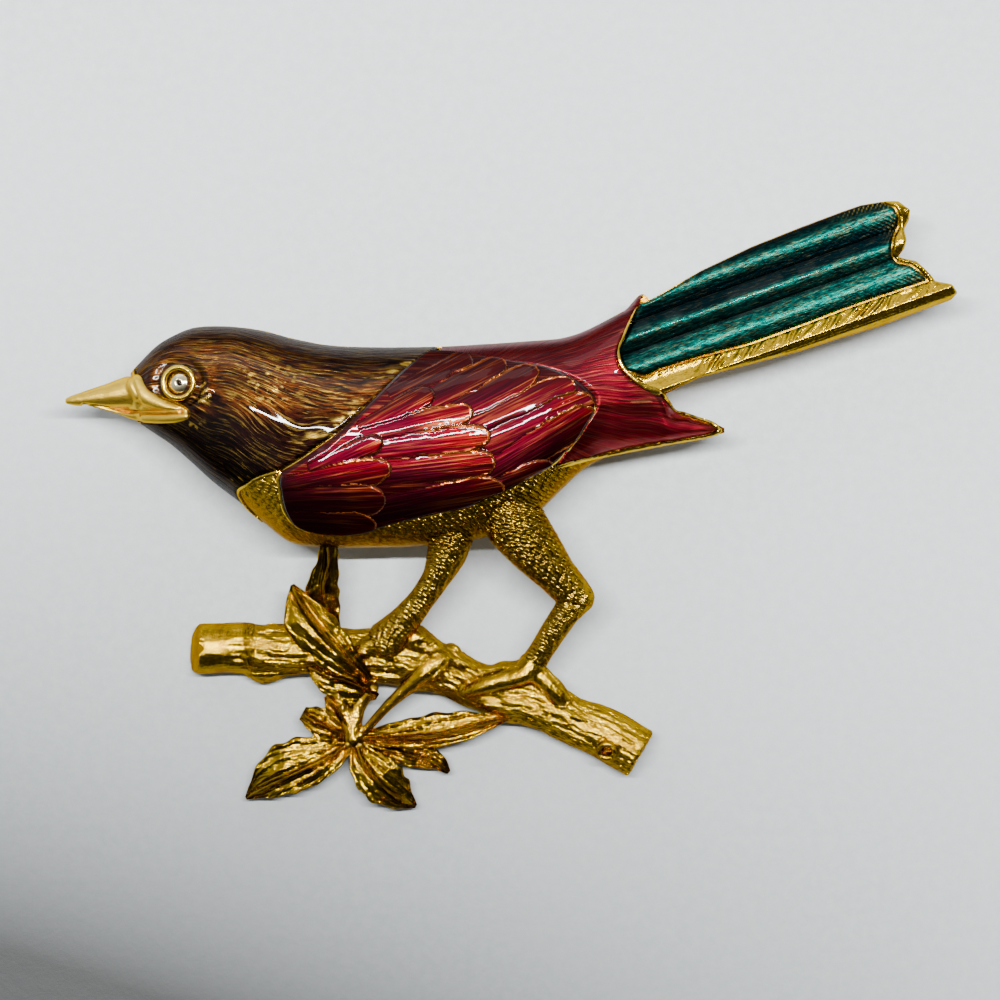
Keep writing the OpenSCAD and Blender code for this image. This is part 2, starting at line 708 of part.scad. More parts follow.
// The hinge, the stem and the catch, in the closed position
module pin_finding() {
    hinge = on_body(hinge_place);
    post = disc_top - disc_t / 2 - stem_height;
    color("gold")
        translate(body_place + [hinge[0], hinge[1], 0]) {
            for (x = [0, pin_span])
                translate([x, 0, disc_top - disc_t]) cylinder(d = disc_d, h = disc_t, $fn = 48);
            translate([0, barrel_length / 2, stem_height])
                rotate([90, 0, 0])
                    cylinder(d = barrel_d, h = barrel_length, $fn = 32);
            for (side = [-0.5, 0.2])
                translate([-barrel_d / 2, side * barrel_length, stem_height])
                    cube([barrel_d, barrel_length * 0.3, post]);
            translate([0, 0, stem_height]) {
                rotate([0, 90, 0]) cylinder(d = stem_d, h = pin_span, $fn = 24);
                translate([pin_span - catch_length / 2, 0, 0])
                    rotate([0, 90, 0])
                        cylinder(d = barrel_d, h = catch_length, $fn = 32);
                translate([pin_span - catch_length / 2, -barrel_d * 0.3, 0])
                    cube([catch_length, barrel_d * 0.6, post]);
                translate([pin_span + catch_length / 2, 0, 0])
                    rotate([0, 90, 0])
                        cylinder(d1 = stem_d, d2 = stem_d * 0.3, h = stem_d * 1.6, $fn = 24);
            }
        }
}

casting();
head_enamel();
wing_enamel();
back_enamel();
tail_enamel();
pin_finding();
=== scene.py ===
# Enamelled bird brooch on a leafy branch, lying face up on a pale surface.
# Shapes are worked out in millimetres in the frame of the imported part, then written in metres.
import math

import bpy
import numpy as np
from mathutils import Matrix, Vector
from mathutils.geometry import delaunay_2d_cdt


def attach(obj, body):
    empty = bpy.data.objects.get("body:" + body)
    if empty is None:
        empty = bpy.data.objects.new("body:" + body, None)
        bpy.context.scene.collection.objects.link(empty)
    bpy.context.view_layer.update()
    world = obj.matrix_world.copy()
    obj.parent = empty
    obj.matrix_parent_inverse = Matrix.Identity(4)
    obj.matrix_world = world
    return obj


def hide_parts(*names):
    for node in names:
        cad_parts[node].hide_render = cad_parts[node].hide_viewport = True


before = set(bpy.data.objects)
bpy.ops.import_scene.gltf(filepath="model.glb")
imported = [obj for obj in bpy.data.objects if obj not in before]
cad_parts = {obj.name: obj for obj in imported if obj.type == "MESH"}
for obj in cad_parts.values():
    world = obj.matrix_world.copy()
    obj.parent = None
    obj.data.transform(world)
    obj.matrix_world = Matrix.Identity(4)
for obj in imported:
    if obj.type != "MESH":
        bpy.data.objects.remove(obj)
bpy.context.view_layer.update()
mm = 0.001
perMetre = (1000, 1000, 1000)           # from metres to millimetres, for textures
pixel = 0.08                            # millimetres across one of the picture's 1000 pixels
pictureX, pictureY = 40.721, 40.917     # how far its left and top edges lie from the frame's middle
print("frame loaded:", ", ".join(sorted(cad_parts)))


# small numeric helpers

def smoothStep(low, high, x):
    t = np.clip((x - low) / (high - low), 0, 1)
    return t * t * (3 - 2 * t)


def mix(a, b, t):
    return a + (b - a) * t


def bell(x, width):
    return np.exp(-(x / width) ** 2)


def unit(rows, least=0.0):
    # each row divided by its length
    return rows / np.maximum(np.linalg.norm(rows, axis=1), least)[:, None]


def spun(x, y, degrees):
    # both places seen from axes turned by so many degrees
    t = math.radians(degrees)
    return x * math.cos(t) + y * math.sin(t), -x * math.sin(t) + y * math.cos(t)


def flowChart(along, across, layer=0.0):
    # rows of the chart that the fine lines of a material follow
    return np.column_stack([along, across, np.full(len(along), layer)])


def latticeNoise(points, scale, seed):
    # smooth noise from -1 to 1, one bump every 1 / scale millimetres
    p = np.atleast_2d(points) * scale
    if p.shape[1] == 2:
        p = np.column_stack([p, np.zeros(len(p))])
    cell = np.floor(p).astype(np.int64)
    f = p - cell
    f = f * f * (3 - 2 * f)
    total = np.zeros(len(p))
    for dx in (0, 1):
        for dy in (0, 1):
            for dz in (0, 1):
                h = (cell[:, 0] + dx) * 374761393 + (cell[:, 1] + dy) * 668265263
                h = h + (cell[:, 2] + dz) * 2147483647 + seed * 1274126177
                h = (h ^ (h >> 13)) * 1274126177
                value = ((h ^ (h >> 16)) & 0xFFFF) / 32767.5 - 1
                w = np.where(dx, f[:, 0], 1 - f[:, 0]) * np.where(dy, f[:, 1], 1 - f[:, 1])
                total += value * w * np.where(dz, f[:, 2], 1 - f[:, 2])
    return total


def rowCurve(rows, share, column):
    # smooth curve through one column of a table whose first column is the share
    rows = np.asarray(rows, float)
    last = len(rows) - 1
    i = np.clip(np.searchsorted(rows[:, 0], share, side="right") - 1, 0, last - 1)
    a, b, d, e = rows[np.maximum(i - 1, 0)], rows[i], rows[i + 1], rows[np.minimum(i + 2, last)]
    step = d[..., 0] - b[..., 0]
    t = (share - b[..., 0]) / step
    m0 = (d[..., column] - a[..., column]) / (d[..., 0] - a[..., 0]) * step
    m1 = (e[..., column] - b[..., column]) / (e[..., 0] - b[..., 0]) * step
    rise = d[..., column] - b[..., column]
    return b[..., column] + t * (m0 + t * (3 * rise - 2 * m0 - m1 + t * (m0 + m1 - 2 * rise)))


def smoothLine(points, steps=6):
    # points added along a smooth line through the given ones
    p = np.asarray(points, float)
    last = len(p) - 1
    made = []
    for i in range(last):
        a, b, c, d = p[max(i - 1, 0)], p[i], p[i + 1], p[min(i + 2, last)]
        m0, m1 = (c - a) / 2, (d - b) / 2
        for k in range(steps):
            t = k / steps
            made.append(b + t * (m0 + t * (3 * (c - b) - 2 * m0 - m1 + t * (2 * (b - c) + m0 + m1))))
    return np.array(made + [p[last]])


def resample(points, spacing, closed=False):
    p = np.asarray(points, float)
    if closed:
        p = np.vstack([p, p[:1]])
    run = np.concatenate([[0], np.cumsum(np.linalg.norm(np.diff(p, axis=0), axis=1))])
    count = max(int(round(run[-1] / spacing)), 3)
    at = np.linspace(0, run[-1], count + 1)
    made = np.column_stack([np.interp(at, run, p[:, k]) for k in range(p.shape[1])])
    return made[:-1] if closed else made


def lineDistance(points, line, closed=True):
    # distance of each point from a line of short straight pieces
    a = np.asarray(line, float)
    b = np.roll(a, -1, axis=0)
    if not closed:
        a, b = a[:-1], b[:-1]
    d = b - a
    length = np.maximum((d * d).sum(1), 1e-12)
    best = np.empty(len(points))
    for start in range(0, len(points), 4000):
        p = points[start:start + 4000]
        w = p[:, None, :] - a[None]
        t = np.clip((w * d[None]).sum(2) / length, 0, 1)
        gap = w - t[..., None] * d[None]
        best[start:start + 4000] = np.sqrt((gap * gap).sum(2).min(1))
    return best


def isInside(points, outline):
    a = np.asarray(outline, float)
    b = np.roll(a, -1, axis=0)
    found = np.zeros(len(points), bool)
    for p, q in zip(a, b):
        if p[1] == q[1]:
            continue
        crosses = (p[1] > points[:, 1]) != (q[1] > points[:, 1])
        at = p[0] + (points[:, 1] - p[1]) * (q[0] - p[0]) / (q[1] - p[1])
        found ^= crosses & (points[:, 0] < at)
    return found


def shrink(outline, amount):
    # an outline moved inwards all round, with the loops at sharp corners left out
    p = resample(outline, 0.12, closed=True)
    ahead, behind = np.roll(p, -1, axis=0), np.roll(p, 1, axis=0)
    area = (p[:, 0] * ahead[:, 1] - ahead[:, 0] * p[:, 1]).sum()
    along = unit(ahead - behind, 1e-9)
    inwards = np.column_stack([-along[:, 1], along[:, 0]]) * np.sign(area)
    moved = p + inwards * amount
    return moved[lineDistance(moved, p) > abs(amount) * 0.93]


# mesh helpers

def addObject(name, data):
    thing = bpy.data.objects.new(name, data)
    bpy.context.scene.collection.objects.link(thing)
    return thing


def makePiece(name, points, faces, material, attributes=None, sharp=40, nodes=("casting",), slotName="gold"):
    mesh = bpy.data.meshes.new(name)
    mesh.from_pydata((np.asarray(points) * mm).tolist(), [], faces)
    for key, values in (attributes or {}).items():
        values = np.asarray(values, np.float32)
        kind = "FLOAT" if values.ndim == 1 else "FLOAT_VECTOR"
        layer = mesh.attributes.new(key, kind, "POINT")
        layer.data.foreach_set("value" if values.ndim == 1 else "vector", values.ravel())
    mesh.validate()
    mesh.update()
    mesh.shade_smooth()
    mesh.set_sharp_from_angle(angle=math.radians(sharp))
    mesh.materials.append(material)
    piece = addObject(name, mesh)
    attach(piece, "root")
    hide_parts(*nodes)
    print("  piece", name, len(mesh.vertices), "points", len(mesh.polygons), "faces")


def gridFaces(rows, columns, start=0, closed=False, flip=False):
    faces = []
    for i in range(rows - 1):
        for j in range(columns if closed else columns - 1):
            k = (j + 1) % columns
            quad = [start + i * columns + j, start + i * columns + k,
                    start + (i + 1) * columns + k, start + (i + 1) * columns + j]
            faces.append(quad[::-1] if flip else quad)
    return faces


def roundTurn(sides):
    return np.linspace(0, 2 * math.pi, sides, endpoint=False)


def tubeMesh(rings, capped=True):
    # a closed solid through rings of points
    rings = np.asarray(rings, float)
    count, sides = rings.shape[:2]
    faces = gridFaces(count, sides, closed=True)
    if not capped:
        last = (count - 1) * sides
        faces += [[last + j, last + (j + 1) % sides, (j + 1) % sides, j] for j in range(sides)]
        return rings.reshape(-1, 3), faces
    faces.append(list(range(sides))[::-1])
    faces.append([(count - 1) * sides + j for j in range(sides)])
    return rings.reshape(-1, 3), faces


def ballMesh(centre, radius):
    sides = 14
    centre, radius = np.asarray(centre, float), np.broadcast_to(np.asarray(radius, float), 3)
    turn = roundTurn(sides)
    rings = []
    for i in range(1, sides // 2 + 3):
        a = math.pi * i / (sides // 2 + 3)
        ring = np.column_stack([
            np.sin(a) * np.cos(turn), np.sin(a) * np.sin(turn), np.full(sides, np.cos(a))])
        rings.append(centre + ring * radius)
    return tubeMesh(rings)


def limbMesh(path, radii):
    # a round limb along a path, with rounded ends
    steps = np.linspace(0, len(path) - 1, (len(path) - 1) * 8 + 1)
    line = smoothLine(path, 8)
    width = np.interp(steps, np.arange(len(path)), radii)
    first, last = line[1] - line[0], line[-1] - line[-2]
    first, last = first / np.linalg.norm(first), last / np.linalg.norm(last)
    caps = [0.98, 0.85, 0.6, 0.3]
    points = [line[0] - first * width[0] * c for c in caps] + list(line) + \
        [line[-1] + last * width[-1] * c for c in caps[::-1]]
    size = [width[0] * math.sqrt(1 - c * c) for c in caps] + list(width) + \
        [width[-1] * math.sqrt(1 - c * c) for c in caps[::-1]]
    points, size = np.array(points), np.array(size)
    along = unit(np.gradient(points, axis=0))
    side = unit(np.cross(along, [0, 0, 1.0]), 1e-6)
    up = np.cross(side, along)
    turn = roundTurn(18)
    rings = points[:, None] + size[:, None, None] * (
        side[:, None] * np.cos(turn)[None, :, None] + up[:, None] * np.sin(turn)[None, :, None])
    return tubeMesh(rings)


def joinMeshes(parts):
    points, faces, start = [], [], 0
    for p, f in parts:
        points.append(p)
        faces += [[i + start for i in face] for face in f]
        start += len(p)
    return np.vstack(points), faces


def fuse(parts, cell, rounds, weight=0.5):
    # solids melted into one cast body with soft fillets
    points, faces = joinMeshes(parts)
    mesh = bpy.data.meshes.new("melt")
    mesh.from_pydata(points.tolist(), [], faces)
    thing = addObject("melt", mesh)
    remesh = thing.modifiers.new("melt", "REMESH")
    remesh.mode = "VOXEL"
    remesh.voxel_size = cell
    remesh.adaptivity = 0
    bpy.context.view_layer.update()
    done = bpy.data.meshes.new_from_object(thing.evaluated_get(bpy.context.evaluated_depsgraph_get()))
    co = np.empty(len(done.vertices) * 3)
    done.vertices.foreach_get("co", co)
    co = co.reshape(-1, 3)
    edges = np.empty(len(done.edges) * 2, np.int64)
    done.edges.foreach_get("vertices", edges)
    edges = edges.reshape(-1, 2)
    made = [list(p.vertices) for p in done.polygons]
    co = relax(co, edges, rounds, weight)
    bpy.data.objects.remove(thing)
    bpy.data.meshes.remove(mesh)
    bpy.data.meshes.remove(done)
    return co, made


def relax(co, edges, rounds, weight):
    count = len(co)
    degree = np.maximum(np.bincount(edges.ravel(), minlength=count), 1)
    for _ in range(rounds):
        total = np.column_stack([
            np.bincount(edges[:, 0], co[edges[:, 1], k], count)
            + np.bincount(edges[:, 1], co[edges[:, 0], k], count) for k in range(3)])
        co = mix(co, total / degree[:, None], weight)
    return co


def pointNormals(points, faces):
    quads = np.array([f if len(f) == 4 else [f[0], f[1], f[2], f[2]] for f in faces])
    across = np.cross(points[quads[:, 2]] - points[quads[:, 0]], points[quads[:, 3]] - points[quads[:, 1]])
    tri = quads[:, 2] == quads[:, 3]
    first = points[quads[tri, 0]]
    across[tri] = np.cross(points[quads[tri, 1]] - first, points[quads[tri, 2]] - first)
    normals = np.column_stack([
        sum(np.bincount(quads[:, c], across[:, k], len(points)) for c in range(4)) for k in range(3)])
    return unit(normals, 1e-12)


def triangulate(outline, spacing):
    # triangles inside an outline with evenly spread points
    low, high = outline.min(0), outline.max(0)
    xs = np.arange(low[0], high[0], spacing)
    ys = np.arange(low[1], high[1], spacing * 0.866)
    gx, gy = np.meshgrid(xs, ys)
    gx = gx + (np.arange(len(ys)) % 2)[:, None] * spacing / 2
    grid = np.column_stack([gx.ravel(), gy.ravel()])
    grid = grid[isInside(grid, outline)]
    grid = grid[lineDistance(grid, outline) > spacing * 0.5]
    every = np.vstack([outline, grid])
    result = delaunay_2d_cdt([Vector(p) for p in every.tolist()], [], [list(range(len(outline)))], 1, 1e-6)
    points = np.array([tuple(p) for p in result[0]])
    return points, [list(f) for f in result[2]]


def facesSum(points, faces):
    # above 0 when the triangles look up
    a, b, c = (points[[f[k] for f in faces]] for k in range(3))
    return np.cross(b - a, c - a)[:, 2].sum()


def fieldShell(outline, spacing, upper, lower, coarse=0.5):
    # a closed shell over an outline: upper() and lower() give places and facts of points of the flat chart
    chart, faces = triangulate(outline, spacing)
    under, underFaces = triangulate(outline, coarse)
    top, facts = upper(chart)
    bottom = lower(under)
    if facesSum(top, faces) < 0:
        faces = [f[::-1] for f in faces]
    if facesSum(bottom, underFaces) > 0:
        underFaces = [f[::-1] for f in underFaces]
    start = len(top)
    places = {tuple(np.round(p, 4)): i + start for i, p in enumerate(under)}
    used = {(f[i], f[(i + 1) % 3]): True for f in faces for i in range(3)}
    walls = []
    for i, j in used:
        if (j, i) not in used:
            p, q = places.get(tuple(np.round(chart[i], 4))), places.get(tuple(np.round(chart[j], 4)))
            if p is not None and q is not None:
                walls.append([j, i, p, q])
    every = faces + [[i + start for i in f] for f in underFaces] + walls
    if facts:
        missing = [key for key in ("shift", "matt", "steep") if key not in facts]
        facts = {**facts, **{key: np.zeros(len(top)) for key in missing}}
    full = {key: np.concatenate([values, np.zeros((len(bottom),) + values.shape[1:])])
            for key, values in facts.items()}
    return np.vstack([top, bottom]), every, full


print("helpers ready")


# shading

def feed(tree, socket, source):
    # a link from another node's socket, or a plain value
    if isinstance(source, bpy.types.NodeSocket):
        tree.links.new(source, socket)
    else:
        socket.default_value = (*source, 1) if socket.type == "RGBA" else source


def newNode(tree, kind, links=None, **values):
    node = tree.nodes.new(kind)
    for key, value in values.items():
        setattr(node, key, value)
    for name, source in (links or {}).items():
        feed(tree, node.inputs[name], source)
    return node


def mathNode(tree, operation, a, b, clamp=False):
    return newNode(tree, "ShaderNodeMath", {0: a, 1: b}, operation=operation, use_clamp=clamp).outputs[0]


def vectorNode(tree, operation, a, b):
    return newNode(tree, "ShaderNodeVectorMath", {0: a, 1: b}, operation=operation).outputs[0]


def attribute(tree, name, output="Fac"):
    return newNode(tree, "ShaderNodeAttribute", attribute_name=name).outputs[output]


def bumpNode(tree, distance, height, normal=None, strength=1.0):
    # a bump of so many millimetres
    links = {"Strength": strength, "Distance": distance * mm, "Height": height}
    if normal is not None:
        links["Normal"] = normal
    return newNode(tree, "ShaderNodeBump", links).outputs[0]


def newGroup(name, inputs, outputs):
    tree = bpy.data.node_groups.new(name, "ShaderNodeTree")
    for label, kind, value in inputs:
        socket = tree.interface.new_socket(name=label, in_out="INPUT", socket_type=kind)
        if value is not None:
            socket.default_value = value
    for label, kind in outputs:
        tree.interface.new_socket(name=label, in_out="OUTPUT", socket_type=kind)
    return tree, tree.nodes.new("NodeGroupInput"), tree.nodes.new("NodeGroupOutput")


def makeEngraving():
    # fine lines along the feather chart: x runs along a feather, y across it, in millimetres
    tree, given, out = newGroup("engravedLines", [
        ("Chart", "NodeSocketVector", None), ("Lines per mm", "NodeSocketFloat", 3.0),
        ("Stretch", "NodeSocketFloat", 8.0), ("Contrast", "NodeSocketFloat", 3.0)],
        [("Mask", "NodeSocketFloat"), ("Height", "NodeSocketFloat")])
    parts = newNode(tree, "ShaderNodeSeparateXYZ", {0: given.outputs["Chart"]})
    slow = mathNode(tree, "DIVIDE", parts.outputs[0], given.outputs["Stretch"])
    joined = newNode(tree, "ShaderNodeCombineXYZ", {0: slow, 1: parts.outputs[1], 2: parts.outputs[2]})
    noise = newNode(tree, "ShaderNodeTexNoise", {
        "Vector": joined.outputs[0], "Scale": given.outputs["Lines per mm"], "Detail": 2.5, "Roughness": 0.6,
        "Distortion": 0.15})
    level = mathNode(tree, "SUBTRACT", noise.outputs[0], 0.5)
    steep = mathNode(tree, "MULTIPLY", level, given.outputs["Contrast"])
    tree.links.new(mathNode(tree, "ADD", steep, 0.5, True), out.inputs["Mask"])
    tree.links.new(noise.outputs[0], out.inputs["Height"])
    return tree


def makeGrain():
    # the grain of a polished casting, from the place on the object in metres
    tree, given, out = newGroup("castGrain", [
        ("Place", "NodeSocketVector", None), ("Grains per mm", "NodeSocketFloat", 4.0)],
        [("Height", "NodeSocketFloat"), ("Patch", "NodeSocketFloat")])
    scaled = vectorNode(tree, "MULTIPLY", given.outputs["Place"], perMetre)
    fine = newNode(tree, "ShaderNodeTexNoise", {
        "Vector": scaled, "Scale": given.outputs["Grains per mm"], "Detail": 4.0, "Roughness": 0.6})
    broad = newNode(tree, "ShaderNodeTexNoise", {"Vector": scaled, "Scale": 0.9, "Detail": 3.0})
    tree.links.new(fine.outputs[0], out.inputs["Height"])
    tree.links.new(broad.outputs[0], out.inputs["Patch"])
    return tree


engraving = makeEngraving()
grain = makeGrain()


def groupNode(tree, group, links):
    return newNode(tree, "ShaderNodeGroup", links, node_tree=group)


def newMaterial(name):
    material = bpy.data.materials.new(name)
    material.use_nodes = True
    tree = material.node_tree
    return material, tree, tree.nodes["Principled BSDF"].inputs


def colourMix(tree, factor, a, b):
    node = newNode(tree, "ShaderNodeMix", data_type="RGBA", blend_type="MIX")
    for index, source in ((0, factor), (6, a), (7, b)):
        feed(tree, node.inputs[index], source)
    return node.outputs[2]


def mapRange(tree, source, low, high, toLow, toHigh):
    node = newNode(tree, "ShaderNodeMapRange", {
        0: source, 1: low, 2: high, 3: toLow, 4: toHigh}, interpolation_type="SMOOTHSTEP")
    return node.outputs[0]


edgeTint = (0.5, 0.33, 0.07)      # the gold seen along its surface, where it would turn white


def darker(colour, share):
    return tuple(v * share for v in colour)


def castMetal(tree, shader, grains, bright, dull, stain, rough):
    # what all the golds share: gives the grain's height and the tint
    place = newNode(tree, "ShaderNodeTexCoord").outputs["Object"]
    cast = groupNode(tree, grain, {"Place": place, "Grains per mm": grains}).outputs
    tint = colourMix(tree, mapRange(tree, cast["Patch"], 0.42, 0.66, 0.0, stain), bright, dull)
    feed(tree, shader["Roughness"], mapRange(tree, cast["Height"], 0.3, 0.7, rough * 0.75, rough * 1.3))
    feed(tree, shader["Metallic"], 1.0)
    feed(tree, shader["Specular Tint"], edgeTint)
    return cast["Height"], tint


def goldMaterial(name, bright, dull, rough, grains, relief, stain=0.35, lined=None):
    # bare plated metal: a bright tone, a dull tone in patches, its polish, its grain, and for some the lines
    # a millimetre, the stretch and the relief of strings along the chart
    material, tree, shader = newMaterial(name)
    height, tint = castMetal(tree, shader, grains, bright, dull, stain, rough)
    bump = bumpNode(tree, relief, height)
    if lined:
        strings = groupNode(tree, engraving, {
            "Chart": attribute(tree, "chart", "Vector"), "Lines per mm": lined[0], "Stretch": lined[1],
            "Contrast": 3.0}).outputs
        bump = bumpNode(tree, lined[2], strings["Height"], bump)
        # painted shade: the gold in the strings' grooves is coloured darker
        grooveShade = mapRange(tree, strings["Mask"], 0.0, 0.4, 0.7, 0.0)
        tint = colourMix(tree, grooveShade, tint, darker(dull, 0.55))
    feed(tree, shader["Base Color"], tint)
    feed(tree, shader["Normal"], bump)
    return material


def plumageMaterial(name, bright, dull, rough, beadsAlong, beadsAcross, relief):
    # gold cast with rows of small beads and dashes: the feather chart gives their direction
    material, tree, shader = newMaterial(name)
    height, tint = castMetal(tree, shader, 6.0, bright, dull, 0.3, rough)
    strong = attribute(tree, "tone")
    scaled = vectorNode(tree, "MULTIPLY", attribute(tree, "chart", "Vector"), (beadsAlong, beadsAcross, 1))
    beads = newNode(tree, "ShaderNodeTexVoronoi", {"Vector": scaled, "Scale": 1.0, "Randomness": 0.75},
                    voronoi_dimensions="2D", feature="F1")
    dome = mapRange(tree, beads.outputs["Distance"], 0.12, 0.6, 1.0, 0.0)
    raised = mathNode(tree, "MULTIPLY", dome, strong)
    # painted shade: the gold between the raised beads is coloured darker
    grooveShade = mapRange(tree, mathNode(tree, "SUBTRACT", strong, raised, True), 0.3, 0.95, 0.0, 0.75)
    feed(tree, shader["Base Color"], colourMix(tree, grooveShade, tint, darker(dull, 0.6)))
    feed(tree, shader["Normal"], bumpNode(tree, 0.05, height, bumpNode(tree, relief, raised)))
    return material


def enamelMaterial(name, deep, middle, other, bright, metal, lines, stretch, relief, spark, hair, cut):
    # glossy see-through enamel over engraved metal: deep where it is thick, bright where thin
    material, tree, shader = newMaterial(name)
    chart = attribute(tree, "chart", "Vector")
    tone, bare, shift, matt, steep = (
        attribute(tree, key) for key in ("tone", "bare", "shift", "matt", "steep"))
    broad = groupNode(tree, engraving, {
        "Chart": chart, "Lines per mm": lines, "Stretch": stretch, "Contrast": 4.5}).outputs
    fine = groupNode(tree, engraving, {
        "Chart": chart, "Lines per mm": lines * 2.1, "Stretch": stretch * hair, "Contrast": 6.0}).outputs
    base = colourMix(tree, tone, deep, colourMix(tree, shift, middle, other))
    base = colourMix(tree, mathNode(tree, "MULTIPLY", broad["Mask"], tone), base, bright)
    base = colourMix(tree, mapRange(tree, broad["Mask"], 0.0, 0.45, cut, 0.0), base, deep)
    glint = mathNode(tree, "POWER", fine["Mask"], 9.0)
    glint = mathNode(tree, "MULTIPLY", glint, mapRange(tree, tone, 0.1, 0.6, 0.25, 1.0))
    shown = mathNode(tree, "ADD", mathNode(tree, "MULTIPLY", glint, spark), bare, True)
    feed(tree, shader["Base Color"], colourMix(tree, shown, base, metal))
    feed(tree, shader["Specular Tint"], middle)
    feed(tree, shader["Roughness"], mapRange(tree, shown, 0.0, 1.0, 0.4, 0.2))
    bump = bumpNode(tree, relief, broad["Height"])
    feed(tree, shader["Normal"], bumpNode(tree, relief * 0.4, fine["Height"], bump))
    # the clear face over it goes dull where the wall is steep, and the steepest wall isn't metal at all:
    # painted shade, which keeps the steep walls dark instead of reflecting the bright floor
    face = mapRange(tree, shown, 0.2, 0.9, 1.0, 0.15)
    duller = mathNode(tree, "MAXIMUM", matt, steep)
    feed(tree, shader["Coat Weight"], mathNode(tree, "SUBTRACT", face, duller, True))
    feed(tree, shader["Metallic"], mapRange(tree, steep, 0.0, 1.0, 1.0, 0.0))
    feed(tree, shader["Specular IOR Level"], 0.05)
    feed(tree, shader["Coat Roughness"], 0.03)
    feed(tree, shader["Coat IOR"], 1.28)
    return material


leafGold = goldMaterial("leafGold", (0.29, 0.175, 0.005), (0.125, 0.065, 0.0015), 0.14, 4.0, 0.045, 0.4,
                        (1.7, 5.0, 0.24))
castGold = goldMaterial("castGold", (0.56, 0.345, 0.018), (0.3, 0.16, 0.006), 0.18, 4.0, 0.05)
barkGold = goldMaterial("barkGold", (0.5, 0.3, 0.012), (0.23, 0.115, 0.003), 0.17, 4.5, 0.06, 0.4,
                        (2.4, 4.0, 0.32))
brightGold = goldMaterial("brightGold", (0.74, 0.48, 0.05), (0.5, 0.27, 0.018), 0.17, 4.0, 0.02, 0.2)
satinGold = goldMaterial("satinGold", (0.84, 0.54, 0.06), (0.68, 0.4, 0.03), 0.36, 9.0, 0.014, 0.3)
backGold = goldMaterial("backGold", (0.36, 0.2, 0.01), (0.2, 0.095, 0.003), 0.3, 2.6, 0.07, 0.5)
plumageGold = plumageMaterial("plumageGold", (0.375, 0.232, 0.022), (0.22, 0.112, 0.006), 0.19,
                              1.7, 3.7, 0.13)
# deep, middle, shifted, bright and bare colours; lines a millimetre, their stretch, their relief, how many
# glints, how much finer they are, and how dark the grooves are
brownEnamel = enamelMaterial("brownEnamel", (0.005, 0.001, 0.0008), (0.04, 0.0075, 0.001),
                             (0.018, 0.0015, 0.0018), (0.14, 0.038, 0.0035), (0.8, 0.5, 0.07),
                             3.0, 6.0, 0.14, 0.2, 2.6, 0.7)
redEnamel = enamelMaterial("redEnamel", (0.03, 0.0004, 0.004), (0.048, 0.0002, 0.003), (0.03, 0.0, 0.008),
                           (0.075, 0.0006, 0.0008), (0.62, 0.17, 0.03), 2.4, 14.0, 0.06, 0.18, 2.6, 0.6)
backEnamel = enamelMaterial("backEnamel", (0.04, 0.0008, 0.006), (0.085, 0.0015, 0.008), (0.36, 0.01, 0.03),
                            (0.16, 0.003, 0.008), (0.9, 0.28, 0.12), 3.6, 14.0, 0.06, 0.09, 2.6, 0.45)
greenEnamel = enamelMaterial("greenEnamel", (0.0, 0.007, 0.009), (0.0, 0.042, 0.035), (0.0, 0.024, 0.026),
                             (0.0, 0.115, 0.085), (0.8, 0.58, 0.1), 4.5, 2.6, 0.05, 0.06, 3.0, 0.3)
eyeGold = goldMaterial("eyeGold", (0.93, 0.78, 0.46), (0.8, 0.6, 0.28), 0.14, 6.0, 0.008, 0.3)
darkGlass = goldMaterial("darkGlass", (0.03, 0.02, 0.012), (0.01, 0.006, 0.004), 0.12, 4.0, 0.0, 0.3)
print("materials ready")


# the body's dome

body = {
    "length": 47.6,
    "width": 16.0,
    "depth": 7.0,
    "back": 5.0,
    "square": 2.35,
    "lip": 0.6,
    "enamel": 0.33,      # how far the metal lies under the enamel's face
    "wall": 1.55,        # from the face to the hollow behind
    "hollowFrom": 0.235,
    "hollowTo": 0.73,
    "placeX": -30.341,
    "placeY": 5.737,
    "ringsFront": 60,    # rings before the hollow, along it and behind it
    "ringsHollow": 120,
    "ringsBehind": 70,
    "lipPoints": 4,      # points of a ring: each bare lip, the covered face, the hollow's arch, each flat rim
    "facePoints": 70,
    "archPoints": 36,
    "rimPoints": 3,
}
# share of the length, low edge, high edge as shares of the width, crown as a share of the depth
bodyRows = [
    (0, 0.125, 0.335, 0.36), (0.017, 0.08, 0.39, 0.46), (0.044, 0.025, 0.47, 0.56),
    (0.071, -0.03, 0.52, 0.63), (0.104, -0.115, 0.56, 0.71), (0.139, -0.21, 0.57, 0.78),
    (0.183, -0.31, 0.565, 0.86), (0.227, -0.42, 0.545, 0.92), (0.271, -0.515, 0.51, 0.97),
    (0.333, -0.54, 0.475, 1), (0.402, -0.54, 0.465, 1), (0.472, -0.535, 0.465, 0.98),
    (0.541, -0.515, 0.47, 0.94), (0.595, -0.49, 0.48, 0.9), (0.647, -0.435, 0.49, 0.85),
    (0.691, -0.35, 0.50, 0.8), (0.726, -0.25, 0.51, 0.74), (0.76, -0.155, 0.54, 0.68),
    (0.795, -0.095, 0.59, 0.62), (0.83, -0.07, 0.645, 0.57), (0.874, -0.045, 0.7, 0.5),
    (0.904, -0.025, 0.21, 0.4), (0.941, -0.005, 0.13, 0.3), (0.975, 0.015, 0.095, 0.22),
    (1, 0.035, 0.06, 0.12)]
chartRadius = 7.0        # one radian round the dome is this many millimetres on the flat chart


def fromPicture(points):
    # places in millimetres from places in the picture's frame of 1000 by 1000
    p = np.asarray(points, float)
    made = p.copy()
    made[..., 0] = p[..., 0] * pixel - pictureX
    made[..., 1] = pictureY - p[..., 1] * pixel
    return made


def fromShares(points):
    p = np.asarray(points, float)
    return np.column_stack([p[:, 0] * body["length"] + body["placeX"],
                            p[:, 1] * body["width"] + body["placeY"]])


